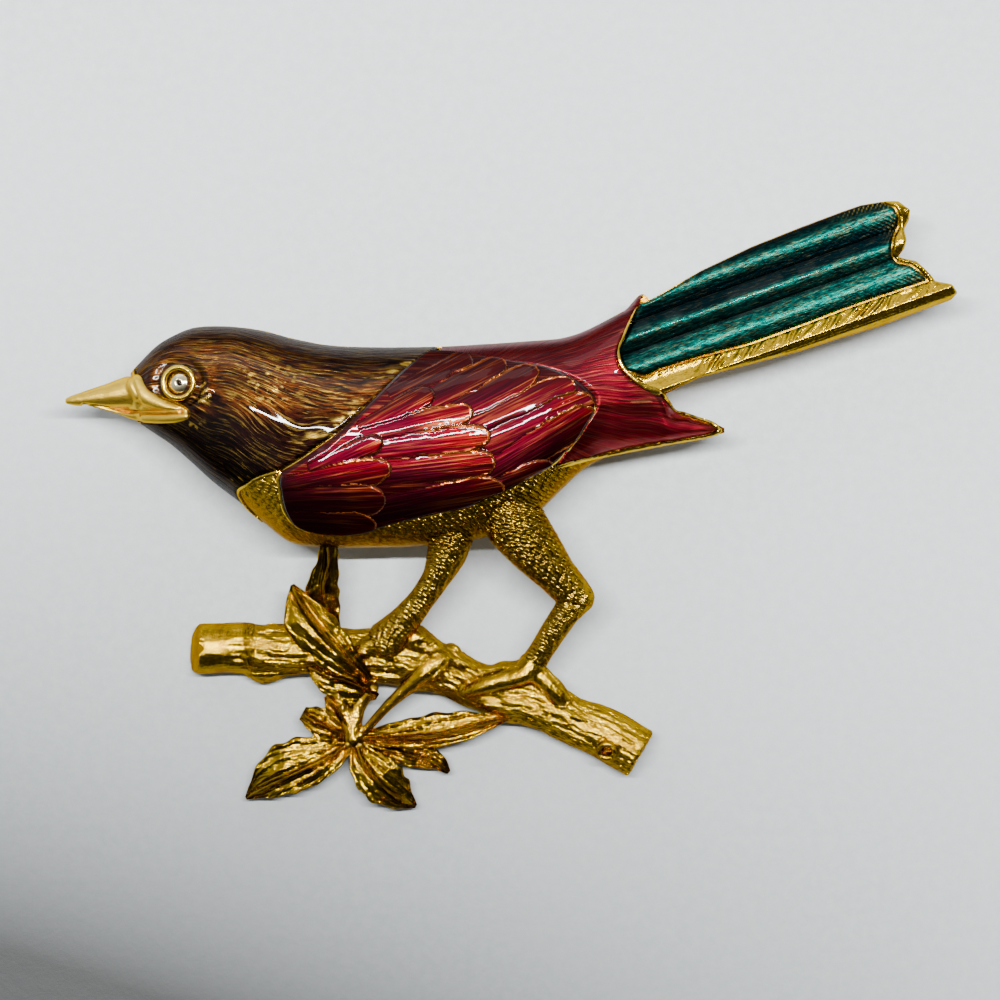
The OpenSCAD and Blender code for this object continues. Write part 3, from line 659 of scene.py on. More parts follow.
def domeEdges(share):
    share = np.clip(share, 0, 1)
    low = rowCurve(bodyRows, share, 1) * body["width"]
    high = rowCurve(bodyRows, share, 2) * body["width"]
    return low, high, rowCurve(bodyRows, share, 3) * body["depth"]


def domePoint(share, angle, inset=0.0):
    # angle 0 is the high edge and pi the low edge
    low, high, crown = domeEdges(share)
    half = np.maximum((high - low) / 2 - inset, 0.06)
    rise = np.maximum(crown - inset, 0.06)
    power = 2 / body["square"]
    c, s = np.cos(angle), np.maximum(np.sin(angle), 0)
    return np.column_stack([
        share * body["length"] + body["placeX"],
        (low + high) / 2 + half * np.sign(c) * np.abs(c) ** power + body["placeY"],
        body["back"] + rise * s ** power])


def domeNormal(share, angle):
    e = 0.004
    along = domePoint(np.minimum(share + e, 1), angle) - domePoint(np.maximum(share - e, 0), angle)
    past, before = (domePoint(share, np.clip(angle + step, 0, math.pi)) for step in (0.02, -0.02))
    return unit(np.cross(past - before, along), 1e-9)


def lipAngle(share):
    return np.arcsin(np.clip((body["lip"] / domeEdges(share)[2]) ** (body["square"] / 2), 0, 0.98))


def toChart(plan, lipped=True):
    # places on the flat chart of the dome from places in plan
    share = np.clip((plan[:, 0] - body["placeX"]) / body["length"], 0.0, 1.0)
    low, high, _ = domeEdges(share)
    t = np.clip((plan[:, 1] - body["placeY"] - (low + high) / 2) / ((high - low) / 2), -1, 1)
    angle = np.arccos(np.clip(np.sign(t) * np.abs(t) ** (body["square"] / 2), -1, 1))
    if lipped:
        edge = lipAngle(share)
        angle = np.clip(angle, edge, math.pi - edge)
    return np.column_stack([share * body["length"], angle * chartRadius])


def fromChart(chart, inset=0.0):
    share, angle = chart[:, 0] / body["length"], chart[:, 1] / chartRadius
    return domePoint(share, angle, inset), domeNormal(share, angle)


def tidyOutline(points, spacing=0.14):
    # evenly spaced chart outline without doubled points
    p = resample(points, spacing, closed=True)
    return p[np.linalg.norm(p - np.roll(p, 1, axis=0), axis=1) > spacing * 0.2]


# border lines of the fields, as shares of the body's length and width
lineOf = {key: smoothLine(points) for key, points in {
    "collar": [(0.532, 0.54), (0.521, 0.465), (0.487, 0.395), (0.454, 0.31), (0.403, 0.16), (0.361, 0.04),
               (0.319, -0.05), (0.286, -0.115), (0.259, -0.16)],
    "breast": [(0.259, -0.16), (0.222, -0.19), (0.202, -0.225), (0.185, -0.26), (0.195, -0.33),
               (0.222, -0.42), (0.22, -0.5)],
    "jaw": [(-0.013, 0.11), (0.017, 0.095), (0.054, 0.085), (0.087, 0.105), (0.1025, 0.135), (0.084, 0.17),
            (0.059, 0.2), (0.034, 0.23), (0.0185, 0.27), (0.01, 0.32), (0.005, 0.4)],
    "wingFront": [(0.259, -0.16), (0.2555, -0.2), (0.259, -0.275), (0.266, -0.355), (0.282, -0.42),
                  (0.309, -0.455), (0.343, -0.4675)],
    "wingLow": [(0.343, -0.4675), (0.395, -0.45), (0.454, -0.405), (0.521, -0.36), (0.571, -0.325),
                (0.605, -0.275), (0.63, -0.25), (0.672, -0.18), (0.706, -0.125), (0.731, -0.06)],
    "wingTop": [(0.731, -0.06), (0.751, 0.01), (0.766, 0.08), (0.78, 0.145), (0.782, 0.2), (0.771, 0.24),
                (0.748, 0.29), (0.719, 0.33), (0.686, 0.36), (0.639, 0.38), (0.605, 0.395),
                (0.573, 0.415), (0.541, 0.425), (0.504, 0.43)],
    "covertEdge": [(0.716, -0.14), (0.748, -0.115), (0.79, -0.085), (0.874, -0.035), (0.958, 0.0075),
                   (0.985, 0.03), (0.992, 0.0525), (0.978, 0.085), (0.95, 0.1125), (0.918, 0.15),
                   (0.9025, 0.2), (0.894, 0.23)],
    "tailRoot": [(0.894, 0.23), (0.8655, 0.26), (0.84, 0.315), (0.825, 0.37), (0.82, 0.44), (0.8286, 0.51),
                 (0.8437, 0.61), (0.857, 0.69), (0.8655, 0.78)]}.items()}
collarLow = lineOf["collar"][lineOf["collar"][:, 1] < 0.43]
collarHigh = lineOf["collar"][lineOf["collar"][:, 1] > 0.43]
headOutline = np.vstack([[(0.532, 0.8)], lineOf["collar"], lineOf["breast"], [(0.2, -0.65), (-0.05, -0.4)],
                         lineOf["jaw"], [(0.005, 0.8)]])
wingOutline = np.vstack([collarLow, lineOf["wingFront"], lineOf["wingLow"], lineOf["wingTop"]])
backOutline = np.vstack([lineOf["covertEdge"], lineOf["tailRoot"], [(0.535, 0.8)], collarHigh,
                         lineOf["wingTop"][::-1]])
bellyOutline = np.vstack([lineOf["breast"], [(0.22, -0.7), (1.0, -0.4), (1.0, 0.05)],
                          lineOf["covertEdge"][:30][::-1], lineOf["wingLow"][::-1],
                          lineOf["wingFront"][::-1]])


def chartOutline(shares, amount):
    return tidyOutline(toChart(shrink(fromShares(shares), amount)))


def buildBodyMetal():
    # the metal under the enamel, the bare lip round the back, and the hollow behind
    front, hollow, behind = body["ringsFront"], body["ringsHollow"], body["ringsBehind"]
    lipCount, faceCount, rimCount = body["lipPoints"], body["facePoints"], body["rimPoints"]
    shares = np.concatenate([
        np.linspace(0.001, body["hollowFrom"], front),
        np.linspace(body["hollowFrom"], body["hollowTo"], hollow), np.linspace(body["hollowTo"], 1, behind)])
    shares[front] += 1e-4
    shares[front + hollow - 1] -= 1e-4
    opened = np.repeat([False, True, False], [front, hollow, behind])
    power = 2 / body["square"]
    turn = np.linspace(0, math.pi, body["archPoints"])
    flat = np.full(rimCount, body["back"])
    rings = []
    for share, isOpen in zip(shares, opened):
        s = np.array([share])
        low, high, crown = (v[0] for v in domeEdges(s))
        edge = lipAngle(s)[0]
        bare = np.linspace(math.pi, math.pi - edge, lipCount)
        covered = np.linspace(math.pi - edge, edge, faceCount)
        f = np.clip((share - body["hollowFrom"]) / (body["hollowTo"] - body["hollowFrom"]), 0, 1)
        narrow = body["wall"] + 2.4 * abs(2 * f - 1) ** 5
        half, rise = max((high - low) / 2 - narrow, 0.1), max(crown - narrow, 0.1)
        y = (low + high) / 2 + half * np.sign(np.cos(turn)) * np.abs(np.cos(turn)) ** power + body["placeY"]
        z = body["back"] + (rise * np.sin(turn).clip(0) ** power if isOpen else 0 * turn)
        rimHigh = np.linspace(high + body["placeY"], y[0], rimCount + 2)[1:-1]
        rimLow = np.linspace(y[-1], low + body["placeY"], rimCount + 2)[1:-1]
        ys = np.concatenate([rimHigh, y, rimLow])
        x = share * body["length"] + body["placeX"]
        rings.append(np.vstack([
            domePoint(np.full(lipCount, share), bare),
            domePoint(np.full(faceCount, share), covered, body["enamel"]),
            domePoint(np.full(lipCount, share), math.pi - bare[::-1]),
            np.column_stack([np.full(len(ys), x), ys, np.concatenate([flat, z, flat])])]))
    points, faces = tubeMesh(rings)
    # the tail's root lies in front of the body's end
    beyond = np.vstack([fromShares(lineOf["tailRoot"]), fromShares([(1.05, 0.9), (1.05, 0.26)])])
    under = isInside(points[:, :2], beyond) & (points[:, 2] > body["back"] + 0.5)
    points[under, 2] = body["back"] + 0.5
    rough = latticeNoise(points, 1.1, 3) * 0.05 + latticeNoise(points, 3.0, 4) * 0.03
    behindFace = np.arange(len(points)) % len(rings[0]) > 2 * lipCount + faceCount
    points[:, 2] -= np.where((points[:, 2] > body["back"] + 0.3) & behindFace, rough + 0.05, 0)
    makePiece("body_metal", points, faces, backGold)


buildBodyMetal()
print("body metal built")


# enamel fields

def toPicture(plan):
    return np.column_stack([(plan[:, 0] + pictureX) / pixel, (pictureY - plan[:, 1]) / pixel])


def blobs(at, rows):
    # soft spots: centre, half lengths along and across, turn in degrees, strength
    total = np.zeros(len(at))
    for u, v, a, b, turn, strength in rows:
        x, y = spun(at[:, 0] - u, at[:, 1] - v, turn)
        total += strength * np.exp(-(x / a) ** 2 - (y / b) ** 2)
    return total


wing = {
    "rise": 0.35,            # height of the wing over the dome
    "tipLift": 0.15,         # height of a feather's tip over its neighbours
    "camber": 0.05,
    "goldEdge": 0.13,        # width of the bare metal along a feather's tip
    "spacing": 0.085,
    "tones": [               # spots that are lighter or darker
        (440, 372, 40, 9, -25, 0.4), (450, 395, 35, 10, -25, 0.35), (400, 402, 25, 9, -30, 0.3),
        (520, 400, 40, 9, -28, 0.25), (455, 421, 25, 6, -12, 0.35), (430, 455, 50, 8, -12, 0.3),
        (340, 470, 40, 6, -8, 0.3), (570, 425, 25, 6, -45, -0.3), (545, 395, 35, 9, -20, -0.35),
        (330, 505, 50, 14, 0, -0.1), (440, 492, 60, 10, -12, -0.1), (390, 515, 25, 10, 0, -0.1),
        (385, 430, 40, 7, -40, -0.2)],
}
# tip, base and half width of each feather as seen from above, lowest feather first, and how bare its edge is
wingFeathers = [
    (472, 359.5, 402, 394, 12, 0.35), (506, 364, 430, 400, 13, 0.7), (538, 370.5, 458, 413, 13, 0.9),
    (574, 383, 486, 426, 15, 1.0), (593, 400, 498, 440, 16, 1.2), (595, 412, 498, 470, 17, 1.1),
    (553, 465, 468, 500, 11, 0.4),
    (434, 393, 372, 427, 12, 0.15), (473, 412.5, 378, 436, 13, 0.9), (490, 436, 380, 450, 13, 1.0),
    (495, 462, 392, 474, 14, 0.8), (504, 487, 388, 509, 15, 0.8),
    (384, 440, 322, 468, 10, 0.2), (393, 468, 290, 488, 14, 1.0), (387, 499, 285, 503, 16, 0.45),
    (378, 525, 286, 522, 12, 0.7)]


def featherField(at):
    # height, bare edges, tone and chart of feathers that lie over one another
    height, bare, tone = np.zeros(len(at)), np.zeros(len(at)), np.full(len(at), 0.3)
    chart = flowChart(at[:, 0] * pixel, at[:, 1] * pixel)
    wobble = latticeNoise(at, 0.09, 21) * 1.3 + latticeNoise(at, 0.3, 22) * 0.5
    for number, (tipU, tipV, baseU, baseV, half, strength) in enumerate(wingFeathers):
        along = np.array([tipU - baseU, tipV - baseV], float)
        length = np.linalg.norm(along)
        along /= length
        rel = at - np.array([baseU, baseV])
        f, straight = rel @ along / length, rel @ np.array([-along[1], along[0]])
        g = np.abs(straight + wobble)
        width = half * np.where(f > 0.76, np.sqrt(np.clip(1 - ((f - 0.76) / 0.24) ** 2, 0, 1)),
                                mix(0.82, 1.0, smoothStep(-0.1, 0.76, f)))
        inside = (g < width) & (f > -0.15) & (f < 1)
        # how far inside and outside the feather's edge, in millimetres
        depth = np.where(inside, np.minimum(width - g, (1 - f) * length * 0.8), 0) * pixel
        outer = np.hypot(np.maximum(g - width, 0), np.maximum((f - 1) * length, 0)) * pixel
        # just beyond each feather's edge the feathers under it are darker: partly enamel pooled deeper there,
        # partly painted shade from the feather above
        tone = tone * (1 - 0.65 * np.where(~inside & (f > 0.25) & (f < 1.15), bell(outer, 0.3), 0))
        arch = 1 - np.clip(g / np.maximum(width, 1), 0, 1) ** 2
        lift = wing["tipLift"] * smoothStep(0.1, 1.0, f) ** 1.2 + wing["camber"] * arch
        edge = smoothStep(0, 0.12, depth)
        height = np.where(inside, mix(height, lift, edge), height)
        shade = 0.12 + 0.65 * smoothStep(0.25, 0.95, f) + 0.2 * latticeNoise(at, 0.05, number + 40)
        tone = np.where(inside, mix(tone, np.clip(shade, 0, 1), edge), tone)
        uneven = 1 + 0.5 * latticeNoise(at, 0.16, number + 60)
        thick = wing["goldEdge"] * strength * mix(0.35, 1.0, smoothStep(0.3, 0.85, f)) * uneven
        line = (1 - smoothStep(thick * 0.6, thick + 0.05, depth)) * smoothStep(0.3, 0.6, f)
        line = line * min(strength * 1.2, 1)
        bare = np.where(inside, line, bare)
        lines = flowChart(f * length * pixel, straight * pixel, number * 7.3)
        chart = np.where(inside[:, None], lines, chart)
        height += np.where(inside, 0.05 * line, 0)
    return height, bare, tone, chart


def edgeRound(chart, outline, reach, drop):
    # a field's face sinks along its border
    return -drop * (1 - smoothStep(0, reach, lineDistance(chart, outline))) ** 1.5


def underEnamel(chart):
    return fromChart(chart, body["enamel"] - 0.02)[0]


def enamelPiece(name, outline, spacing, upper, lower, material, node, slotName):
    points, faces, facts = fieldShell(outline, spacing, upper, lower)
    makePiece(name, points, faces, material, facts, 45, (node,), slotName)


def buildWing():
    outline = chartOutline(wingOutline, -0.04)

    def upper(chart):
        point, normal = fromChart(chart, -wing["rise"])
        at = toPicture(point[:, :2])
        height, bare, tone, lines = featherField(at)
        height += 0.008 * latticeNoise(lines * [0.25, 3.2, 1], 1, 7)
        height += edgeRound(chart, outline, 0.35, 0.22)
        # steep and matt dull the steep walls so they stay dark, as painted shade
        return point + normal * height[:, None], {
            "bare": bare, "tone": np.clip(tone + blobs(at, wing["tones"]), 0, 1), "chart": lines,
            "steep": smoothStep(0.6, 0.2, normal[:, 2]), "matt": 0.9 * smoothStep(0.86, 0.6, normal[:, 2])}

    enamelPiece("wing", outline, wing["spacing"], upper, underEnamel, redEnamel, "wing_enamel", "red_enamel")


eye = {
    "placeU": 182.0,
    "placeV": 384.0,
    "ring": 1.22,        # radius of the ring's wire line
    "wire": 0.22,
    "ball": 0.92,
    "pupil": 0.24,
}
head = {
    "ridge": 0.012,
    "spacing": 0.1,
    "spots": {
        # amber crown, cheek and nape, dark throat
        "tone": [
            (200, 350, 45, 13, -5, 0.5), (255, 352, 60, 14, 6, 0.55), (165, 368, 25, 12, -45, 0.35),
            (330, 375, 70, 16, 12, 0.35), (275, 388, 22, 14, 0, 0.45), (240, 402, 45, 12, 20, 0.2),
            (385, 380, 40, 14, -35, 0.35), (315, 420, 50, 16, 0, -0.22), (215, 425, 40, 12, 30, 0.1),
            (230, 470, 60, 34, 35, -0.5), (180, 440, 50, 16, 38, -0.3), (290, 448, 50, 20, 0, -0.2),
            (250, 385, 24, 8, 0, -0.3), (330, 352, 70, 5, 6, -0.15), (235, 425, 42, 16, 10, -0.35),
            (318, 440, 40, 20, 0, -0.25)],
        # where the gold shows through in specks, and in a net
        "specks": [
            (275, 390, 18, 12, 0, 0.35), (412, 375, 45, 10, -32, 0.3), (350, 422, 30, 8, -45, 0.3),
            (245, 480, 25, 8, 10, 0.35), (180, 424, 30, 6, 8, 0.25)],
        "net": [(278, 386, 22, 15, -20, 1.0), (258, 372, 16, 8, 20, 0.5), (188, 424, 14, 4, 8, 0.8)],
        # gold dashes beside the eye, and the dark pit between them
        "dashes": [
            (206, 386, 5, 1.3, -40, 1.0), (208, 392.5, 6, 1.4, -35, 1.0), (210, 399, 6, 1.4, -35, 1.0),
            (203, 402, 4, 1.2, -30, 0.6)],
        "pit": [(217, 399, 6, 4, 0, 0.9)],
        # the redder brown
        "shift": [
            (230, 460, 70, 40, 35, 1.0), (170, 430, 60, 16, 40, 0.9), (300, 435, 60, 26, 0, 0.75),
            (225, 405, 26, 16, 0, 0.6)],
    },
}


def buildHead():
    outline = chartOutline(headOutline, 0.13)

    def upper(chart):
        point, normal = fromChart(chart)
        at = toPicture(point[:, :2])
        spots = {key: blobs(at, rows) for key, rows in head["spots"].items()}
        angle = chart[:, 1] / chartRadius
        top, bottom = smoothStep(1.05, 0.5, angle), smoothStep(2.2, 2.75, angle)
        tone = np.clip((0.33 + spots["tone"]) * (1 - 0.85 * top) * (1 - 0.8 * bottom), 0, 1)
        bare = smoothStep(0.45, 0.8, latticeNoise(chart * [0.9, 3.0], 1.6, 14) + spots["specks"] - 0.42)
        bare *= 0.75 * (1 - top)
        border = lineDistance(point[:, :2], fromShares(lineOf["collar"]), closed=False)
        fibre = smoothStep(0.05, 0.5, latticeNoise(chart * [0.9, 3.4], 1, 15))
        bare += 1.1 * fibre * bell(border, 0.9) * smoothStep(352, 372, at[:, 1]) * smoothStep(
            462, 430, at[:, 1])
        net = smoothStep(0.3, 0.6, latticeNoise(at * [0.55, 1.2], 0.3, 16) + 0.5 * latticeNoise(at, 0.5, 19))
        bare += 0.8 * net * np.clip(spots["net"], 0, 1)
        bare *= smoothStep(-0.4, 0.3, latticeNoise(chart * [1.3, 5.0], 1, 20))
        bare = np.clip(bare + smoothStep(0.35, 0.7, spots["dashes"]), 0, 1)
        lines = flowChart(chart[:, 0], chart[:, 1] + latticeNoise(at, 0.03, 11) * 0.9 * 0.5)
        ridges = latticeNoise(lines * [0.35, 2.6, 0], 1, 12)
        height = head["ridge"] * ridges * (1 - 0.8 * top) + 0.05 * smoothStep(0.3, 0.8, spots["dashes"])
        # a ditch and a low wall round the eye
        ring = np.linalg.norm(at - [eye["placeU"], eye["placeV"]], axis=1) * pixel
        height -= 0.18 * bell(ring - 1.75, 0.3)
        height += 0.1 * bell(ring - 2.4, 0.4)
        height += edgeRound(chart, outline, 0.25, 0.13)
        # steep and matt dull the steep walls so they stay dark, as painted shade
        steep, matt = smoothStep(0.75, 0.4, normal[:, 2]), smoothStep(0.86, 0.6, normal[:, 2])
        return point + normal * height[:, None], {
            "bare": bare * (1 - steep), "tone": np.clip(tone - spots["pit"], 0, 1), "chart": lines,
            "shift": np.clip(spots["shift"], 0, 1), "steep": steep, "matt": matt}

    enamelPiece("head", outline, head["spacing"], upper, underEnamel, brownEnamel, "head_enamel",
                "brown_enamel")


rump = {
    "ridge": 0.01,
    "fanU": 440.0,       # where the fan of fine lines starts
    "fanV": 392.0,
    "spacing": 0.1,
    "tones": [
        (612, 400, 30, 8, 8, 0.3), (640, 345, 14, 30, 10, 0.2), (600, 345, 40, 10, -25, 0.15),
        (660, 420, 50, 12, 12, 0.5), (640, 432, 45, 14, 0, 0.35), (602, 432, 8, 8, 0, -0.2),
        (520, 352, 60, 8, 0, -0.1), (605, 410, 8, 25, 0, -0.3), (580, 376, 30, 6, 25, -0.3)],
}


def buildRump():
    outline = chartOutline(backOutline, 0.07)

    def upper(chart):
        point, normal = fromChart(chart)
        at = toPicture(point[:, :2])
        du, dv = at[:, 0] - rump["fanU"], at[:, 1] - rump["fanV"]
        lines = flowChart(np.hypot(du, dv) * pixel,
                          np.arctan2(dv, du) * 14 + 0.15 * latticeNoise(at, 0.04, 17))
        top = smoothStep(1.0, 0.45, chart[:, 1] / chartRadius)
        # the lower covert lies a little deeper than the rump
        covert = smoothStep(402, 416, at[:, 1] - (at[:, 0] - 600) * 0.05) * smoothStep(585, 612, at[:, 0])
        tone = np.clip((0.62 + blobs(at, rump["tones"])) * (1 - 0.5 * top) + 0.42 * covert, 0, 1)
        ridges = latticeNoise(lines * [0.25, 2.8, 0], 1, 18)
        height = rump["ridge"] * ridges * (1 - 0.6 * top) - 0.16 * covert
        height += edgeRound(chart, outline, 0.25, 0.13)
        bare = 0.5 * smoothStep(0.62, 0.85, ridges) * smoothStep(600, 640, at[:, 0]) * (1 - top)
        bare += 0.05 * covert * smoothStep(0.1, 0.6, ridges)
        # matt dulls the steep walls so they stay dark, as painted shade
        matt = 0.9 * smoothStep(0.86, 0.6, normal[:, 2]) * (1 - 0.5 * covert)
        return point + normal * height[:, None], {
            "bare": bare, "tone": tone, "chart": lines, "steep": smoothStep(0.6, 0.2, normal[:, 2]),
            "shift": 0.9 * covert, "matt": matt}

    enamelPiece("rump", outline, rump["spacing"], upper, underEnamel, backEnamel, "back_enamel", "red_enamel")


buildWing()
buildHead()
buildRump()
print("body enamel built")


# gold lines between the fields

rims = {
    "height": 0.13,
    "sides": 8,
    "lines": [           # line, widths along it, height of its middle
        (collarLow, [0.1, 0.14, 0.12, 0.2, 0.16, 0.22, 0.14], -0.04),
        (lineOf["breast"], [0.3, 0.24, 0.3], -0.02),
        (lineOf["wingFront"], [0.36, 0.5, 0.5, 0.36], 0.03),
        (lineOf["wingLow"], [0.34, 0.3, 0.34, 0.4, 0.5], 0.02),
        (lineOf["wingTop"][:22], [0.5, 0.34, 0.3, 0.24, 0.1], 0.02),
        (lineOf["tailRoot"][:41], [0.5, 0.42, 0.3, 0.2, 0.24, 0.12], 0.0),
        (lineOf["covertEdge"][:40], [0.3, 0.4, 0.5, 0.6, 0.7, 0.7, 0.4], 0.0),
        (lineOf["covertEdge"][38:], [0.4, 0.3, 0.35, 0.5], 0.0)],
}


def surfaceRibbon(shares, widths, lift):
    # a low rounded wire along a line on the dome
    point, normal = fromChart(toChart(resample(fromShares(shares), 0.12)))
    run = np.linspace(0, 1, len(point))
    width = np.interp(run, np.linspace(0, 1, len(widths)), widths)
    width = width * (1 + 0.25 * latticeNoise(run[:, None] * [90, 0], 1, 31))
    side = unit(np.cross(normal, np.gradient(point, axis=0)), 1e-9)
    turn = roundTurn(rims["sides"])
    taper = np.minimum(1, np.minimum(run, 1 - run) * 25 + 0.1)
    rings = point[:, None] + normal[:, None] * lift + side[:, None] * (
        (width * taper / 2)[:, None] * np.cos(turn))[..., None] + normal[:, None] * (
        (rims["height"] * taper)[:, None] * np.sin(turn))[..., None]
    return tubeMesh(rings)


def buildRims():
    points, faces = joinMeshes([surfaceRibbon(*row) for row in rims["lines"]])
    points[:, 2] += 0.015 * latticeNoise(points, 3.0, 33)
    makePiece("rims", points, faces, brightGold)


buildRims()
print("rims built")


# beak and eye

beak = {
    "cell": 0.085,
    "gape": 0.3,         # depth of the line between the two halves
    "crease": 0.14,
    # rows of picture place, height (or rise above the dome) and radius
    "cone": [(141, 392, 6.7, 1.32), (131, 392, 6.75, 1.3), (118, 394.3, 6.7, 1.12), (100, 397, 6.6, 0.84),
             (82, 399.5, 6.5, 0.56), (69, 401, 6.4, 0.3)],
    "cere": [(139, 386, 0.5, 0.9), (146, 395, 0.45, 0.85), (157, 402, 0.35, 0.62), (169, 407, 0.3, 0.4),
             (180, 410.5, 0.2, 0.2)],
    "jawBand": [(189, 417, 0.25, 0.3), (178, 418, 0.34, 0.44), (162, 418.5, 0.36, 0.46),
                (146, 418, 0.36, 0.42)],
    "lower": [(150, 418, 6.9, 0.42), (134, 414.5, 6.4, 0.42), (118, 409.5, 6.15, 0.36), (98, 405.5, 6.1, 0.3),
              (80, 402.5, 6.2, 0.24)],
    "gapeLine": [(84, 405), (105, 408.5), (125, 412), (142, 412.6), (162, 412.6), (184, 412.3)],
    "creaseLine": [(130, 373), (135, 385), (139, 396), (141, 408)],
}


def inFrame(rows):
    # rows of picture place, height and radius: gives the path and the radii
    rows = np.asarray(rows, float)
    return np.column_stack([fromPicture(rows[:, :2]), rows[:, 2]]), rows[:, 3]


def onDome(rows):
    # the same with rows of picture place, rise above the dome and radius
    rows = np.asarray(rows, float)
    rows[:, 2] += fromChart(toChart(fromPicture(rows[:, :2]), lipped=False))[0][:, 2] - rows[:, 3]
    return inFrame(rows)


def domePatch(shares, spacing, thick, grow):
    outline = tidyOutline(toChart(shrink(fromShares(shares), grow), lipped=False), spacing)
    return fieldShell(outline, spacing, lambda c: (fromChart(c)[0], {}),
                      lambda c: fromChart(c, thick)[0], spacing * 2)[:2]


def awayFrom(at, way):
    # millimetres from a smooth open line in the picture
    return lineDistance(at, smoothLine(way), closed=False) * pixel


def buildBeak():
    points, faces = fuse([limbMesh(*inFrame(beak["cone"])), limbMesh(*onDome(beak["cere"])),
                          limbMesh(*onDome(beak["jawBand"])), limbMesh(*inFrame(beak["lower"])),
                          domePatch(lineOf["jaw"], 0.2, 0.9, -0.03)], beak["cell"], 3)
    normals = pointNormals(points, faces)
    at = toPicture(points[:, :2])
    gape, crease = bell(awayFrom(at, beak["gapeLine"]), 0.12), bell(awayFrom(at, beak["creaseLine"]), 0.16)
    points = points - normals * (beak["gape"] * gape + beak["crease"] * crease)[:, None]
    points += normals * (0.012 * latticeNoise(points, 2.2, 51))[:, None]
    makePiece("beak", points, faces, satinGold, None, 70)


def turned(profile, centre, normal, sides=64, capped=True):
    # a closed solid of revolution about a direction: profile rows are radius and height
    normal = np.asarray(normal, float)
    side = np.cross(normal, [0, 1.0, 0])
    side /= np.linalg.norm(side)
    other = np.cross(normal, side)
    turn = roundTurn(sides)
    circle = side[None] * np.cos(turn)[:, None] + other[None] * np.sin(turn)[:, None]
    return tubeMesh([centre + circle * r + normal * h for r, h in profile], capped)


def buildEye():
    point, normal = fromChart(toChart(fromPicture([(eye["placeU"], eye["placeV"])])))
    centre, normal = point[0], normal[0] + np.array([0, 0, 0.8])
    normal /= np.linalg.norm(normal)
    reach, wire, ballSize, pupilSize = eye["ring"], eye["wire"], eye["ball"], eye["pupil"]
    ring = [(reach + wire * math.cos(t), 0.16 + wire * math.sin(t)) for t in roundTurn(16)]
    socket = [(0.01, -1.0), (reach, -1.0), (reach + 0.05, 0.1), (ballSize + 0.12, -0.2), (0.01, -0.2)]
    ball = [(0.01, -0.4), (ballSize, -0.3)]
    ball += [(ballSize * math.cos(a), -0.2 + 0.44 * math.sin(a))
             for a in np.linspace(0.1, math.pi / 2 - 0.3, 14)]
    ball += [(pupilSize * 0.8, 0.19), (pupilSize * 0.5, 0.14), (0.01, 0.12)]
    pupil = [(0.01, 0.0)] + [
        (pupilSize * math.cos(a), 0.17 + 0.12 * math.sin(a)) for a in np.linspace(0, 1.5, 8)]
    rim = joinMeshes([turned(ring, centre, normal, capped=False), turned(socket, centre, normal)])
    makePiece("eye_ring", *rim, brightGold, None, 50)
    makePiece("eye_ball", *turned(ball, centre, normal), eyeGold, None, 50)
    makePiece("pupil", *turned(pupil, centre + np.array([0.12, -0.05, 0]), normal, 32), darkGlass, None, 50)


buildBeak()
buildEye()
print("beak and eye built")


# belly, thigh and legs

legs = {
    "cell": 0.1,
    "dash": 0.075,       # height of the dashes on belly and thigh
    "turn": 28,          # direction of their rows, in degrees
    "rowPitch": 0.46,
    "beadPitch": 0.62,
    # rows of picture place, height and radius
    "near": [(500, 498, 7.5, 2.1), (516, 524, 7.5, 2.5), (536, 550, 7.2, 2.15), (557, 575, 6.6, 1.65),
             (575, 595, 6.05, 1.46)],
    "shank": [(577, 598, 6.05, 1.42), (566, 613, 5.9, 1.12), (552, 634, 5.2, 1.06), (541, 652, 4.5, 1.0),
              (531, 668, 3.8, 1.1)],
    "far": [(452, 536, 7.0, 1.75), (446, 556, 6.6, 1.6), (436, 578, 6.1, 1.15), (421, 600, 5.3, 1.05),
            (405, 620, 4.4, 1.25), (388, 640, 3.2, 1.75)],
    "feathered": [
        (500, 500, 70, 40, -10, 1.2), (545, 485, 45, 25, -40, 1.0), (530, 550, 45, 26, 50, 1.1),
        (430, 530, 70, 12, -6, 0.55)],
    "crease": [(566, 603), (578, 606), (594, 608)],
    "knob": [588, 598],
}


def buildBelly():
    limbs = [limbMesh(*inFrame(legs[key])) for key in ("near", "shank", "far")]
    points, faces = fuse([domePatch(bellyOutline, 0.22, 1.1, 0.1)] + limbs, legs["cell"], 4, 0.6)
    normals = pointNormals(points, faces)
    at = toPicture(points[:, :2])
    facing = smoothStep(-0.1, 0.5, normals[:, 2])
    along, across = (v * pixel for v in spun(at[:, 0], at[:, 1], legs["turn"]))
    drift = 0.35 * latticeNoise(at, 0.03, 52)
    row = np.sin((across + drift) * 2 * math.pi / legs["rowPitch"])
    bead = (along + 0.4 * latticeNoise(at, 0.06, 53)) * 2 * math.pi / legs["beadPitch"]
    dashes = np.clip(row, -0.2, 1) * np.clip(0.45 + np.sin(bead + np.sign(row) * 1.3), 0, 1.4)
    feathered = np.clip(blobs(at, legs["feathered"]), 0, 1)
    stipple = latticeNoise(points, 2.6, 54) * 0.6 + latticeNoise(points, 4.4, 55) * 0.5
    strings = (at[:, 0] * 0.6 + at[:, 1] * 0.2 + 3 * latticeNoise(at, 0.07, 56)) * pixel * 2 * math.pi / 0.36
    onLeg = 0.5 * smoothStep(552, 566, at[:, 1])
    height = legs["dash"] * (feathered * dashes + (1 - feathered) * (0.8 * stipple + onLeg * np.sin(strings)))
    crease = lineDistance(at, np.array(legs["crease"], float), closed=False) * pixel
    height -= 0.16 * bell(crease, 0.16)
    height += 0.18 * bell(np.linalg.norm(at - legs["knob"], axis=1) * pixel, 0.55)
    points = points + normals * (height * facing)[:, None]
    points[:, 2] = np.maximum(points[:, 2], 0)
    facts = {"chart": flowChart(along, across + drift), "tone": np.clip(feathered * 1.2 + 0.42, 0, 1) * facing}
    makePiece("belly_and_legs", points, faces, plumageGold, facts, 80)


buildBelly()
print("belly and legs built")


# tail

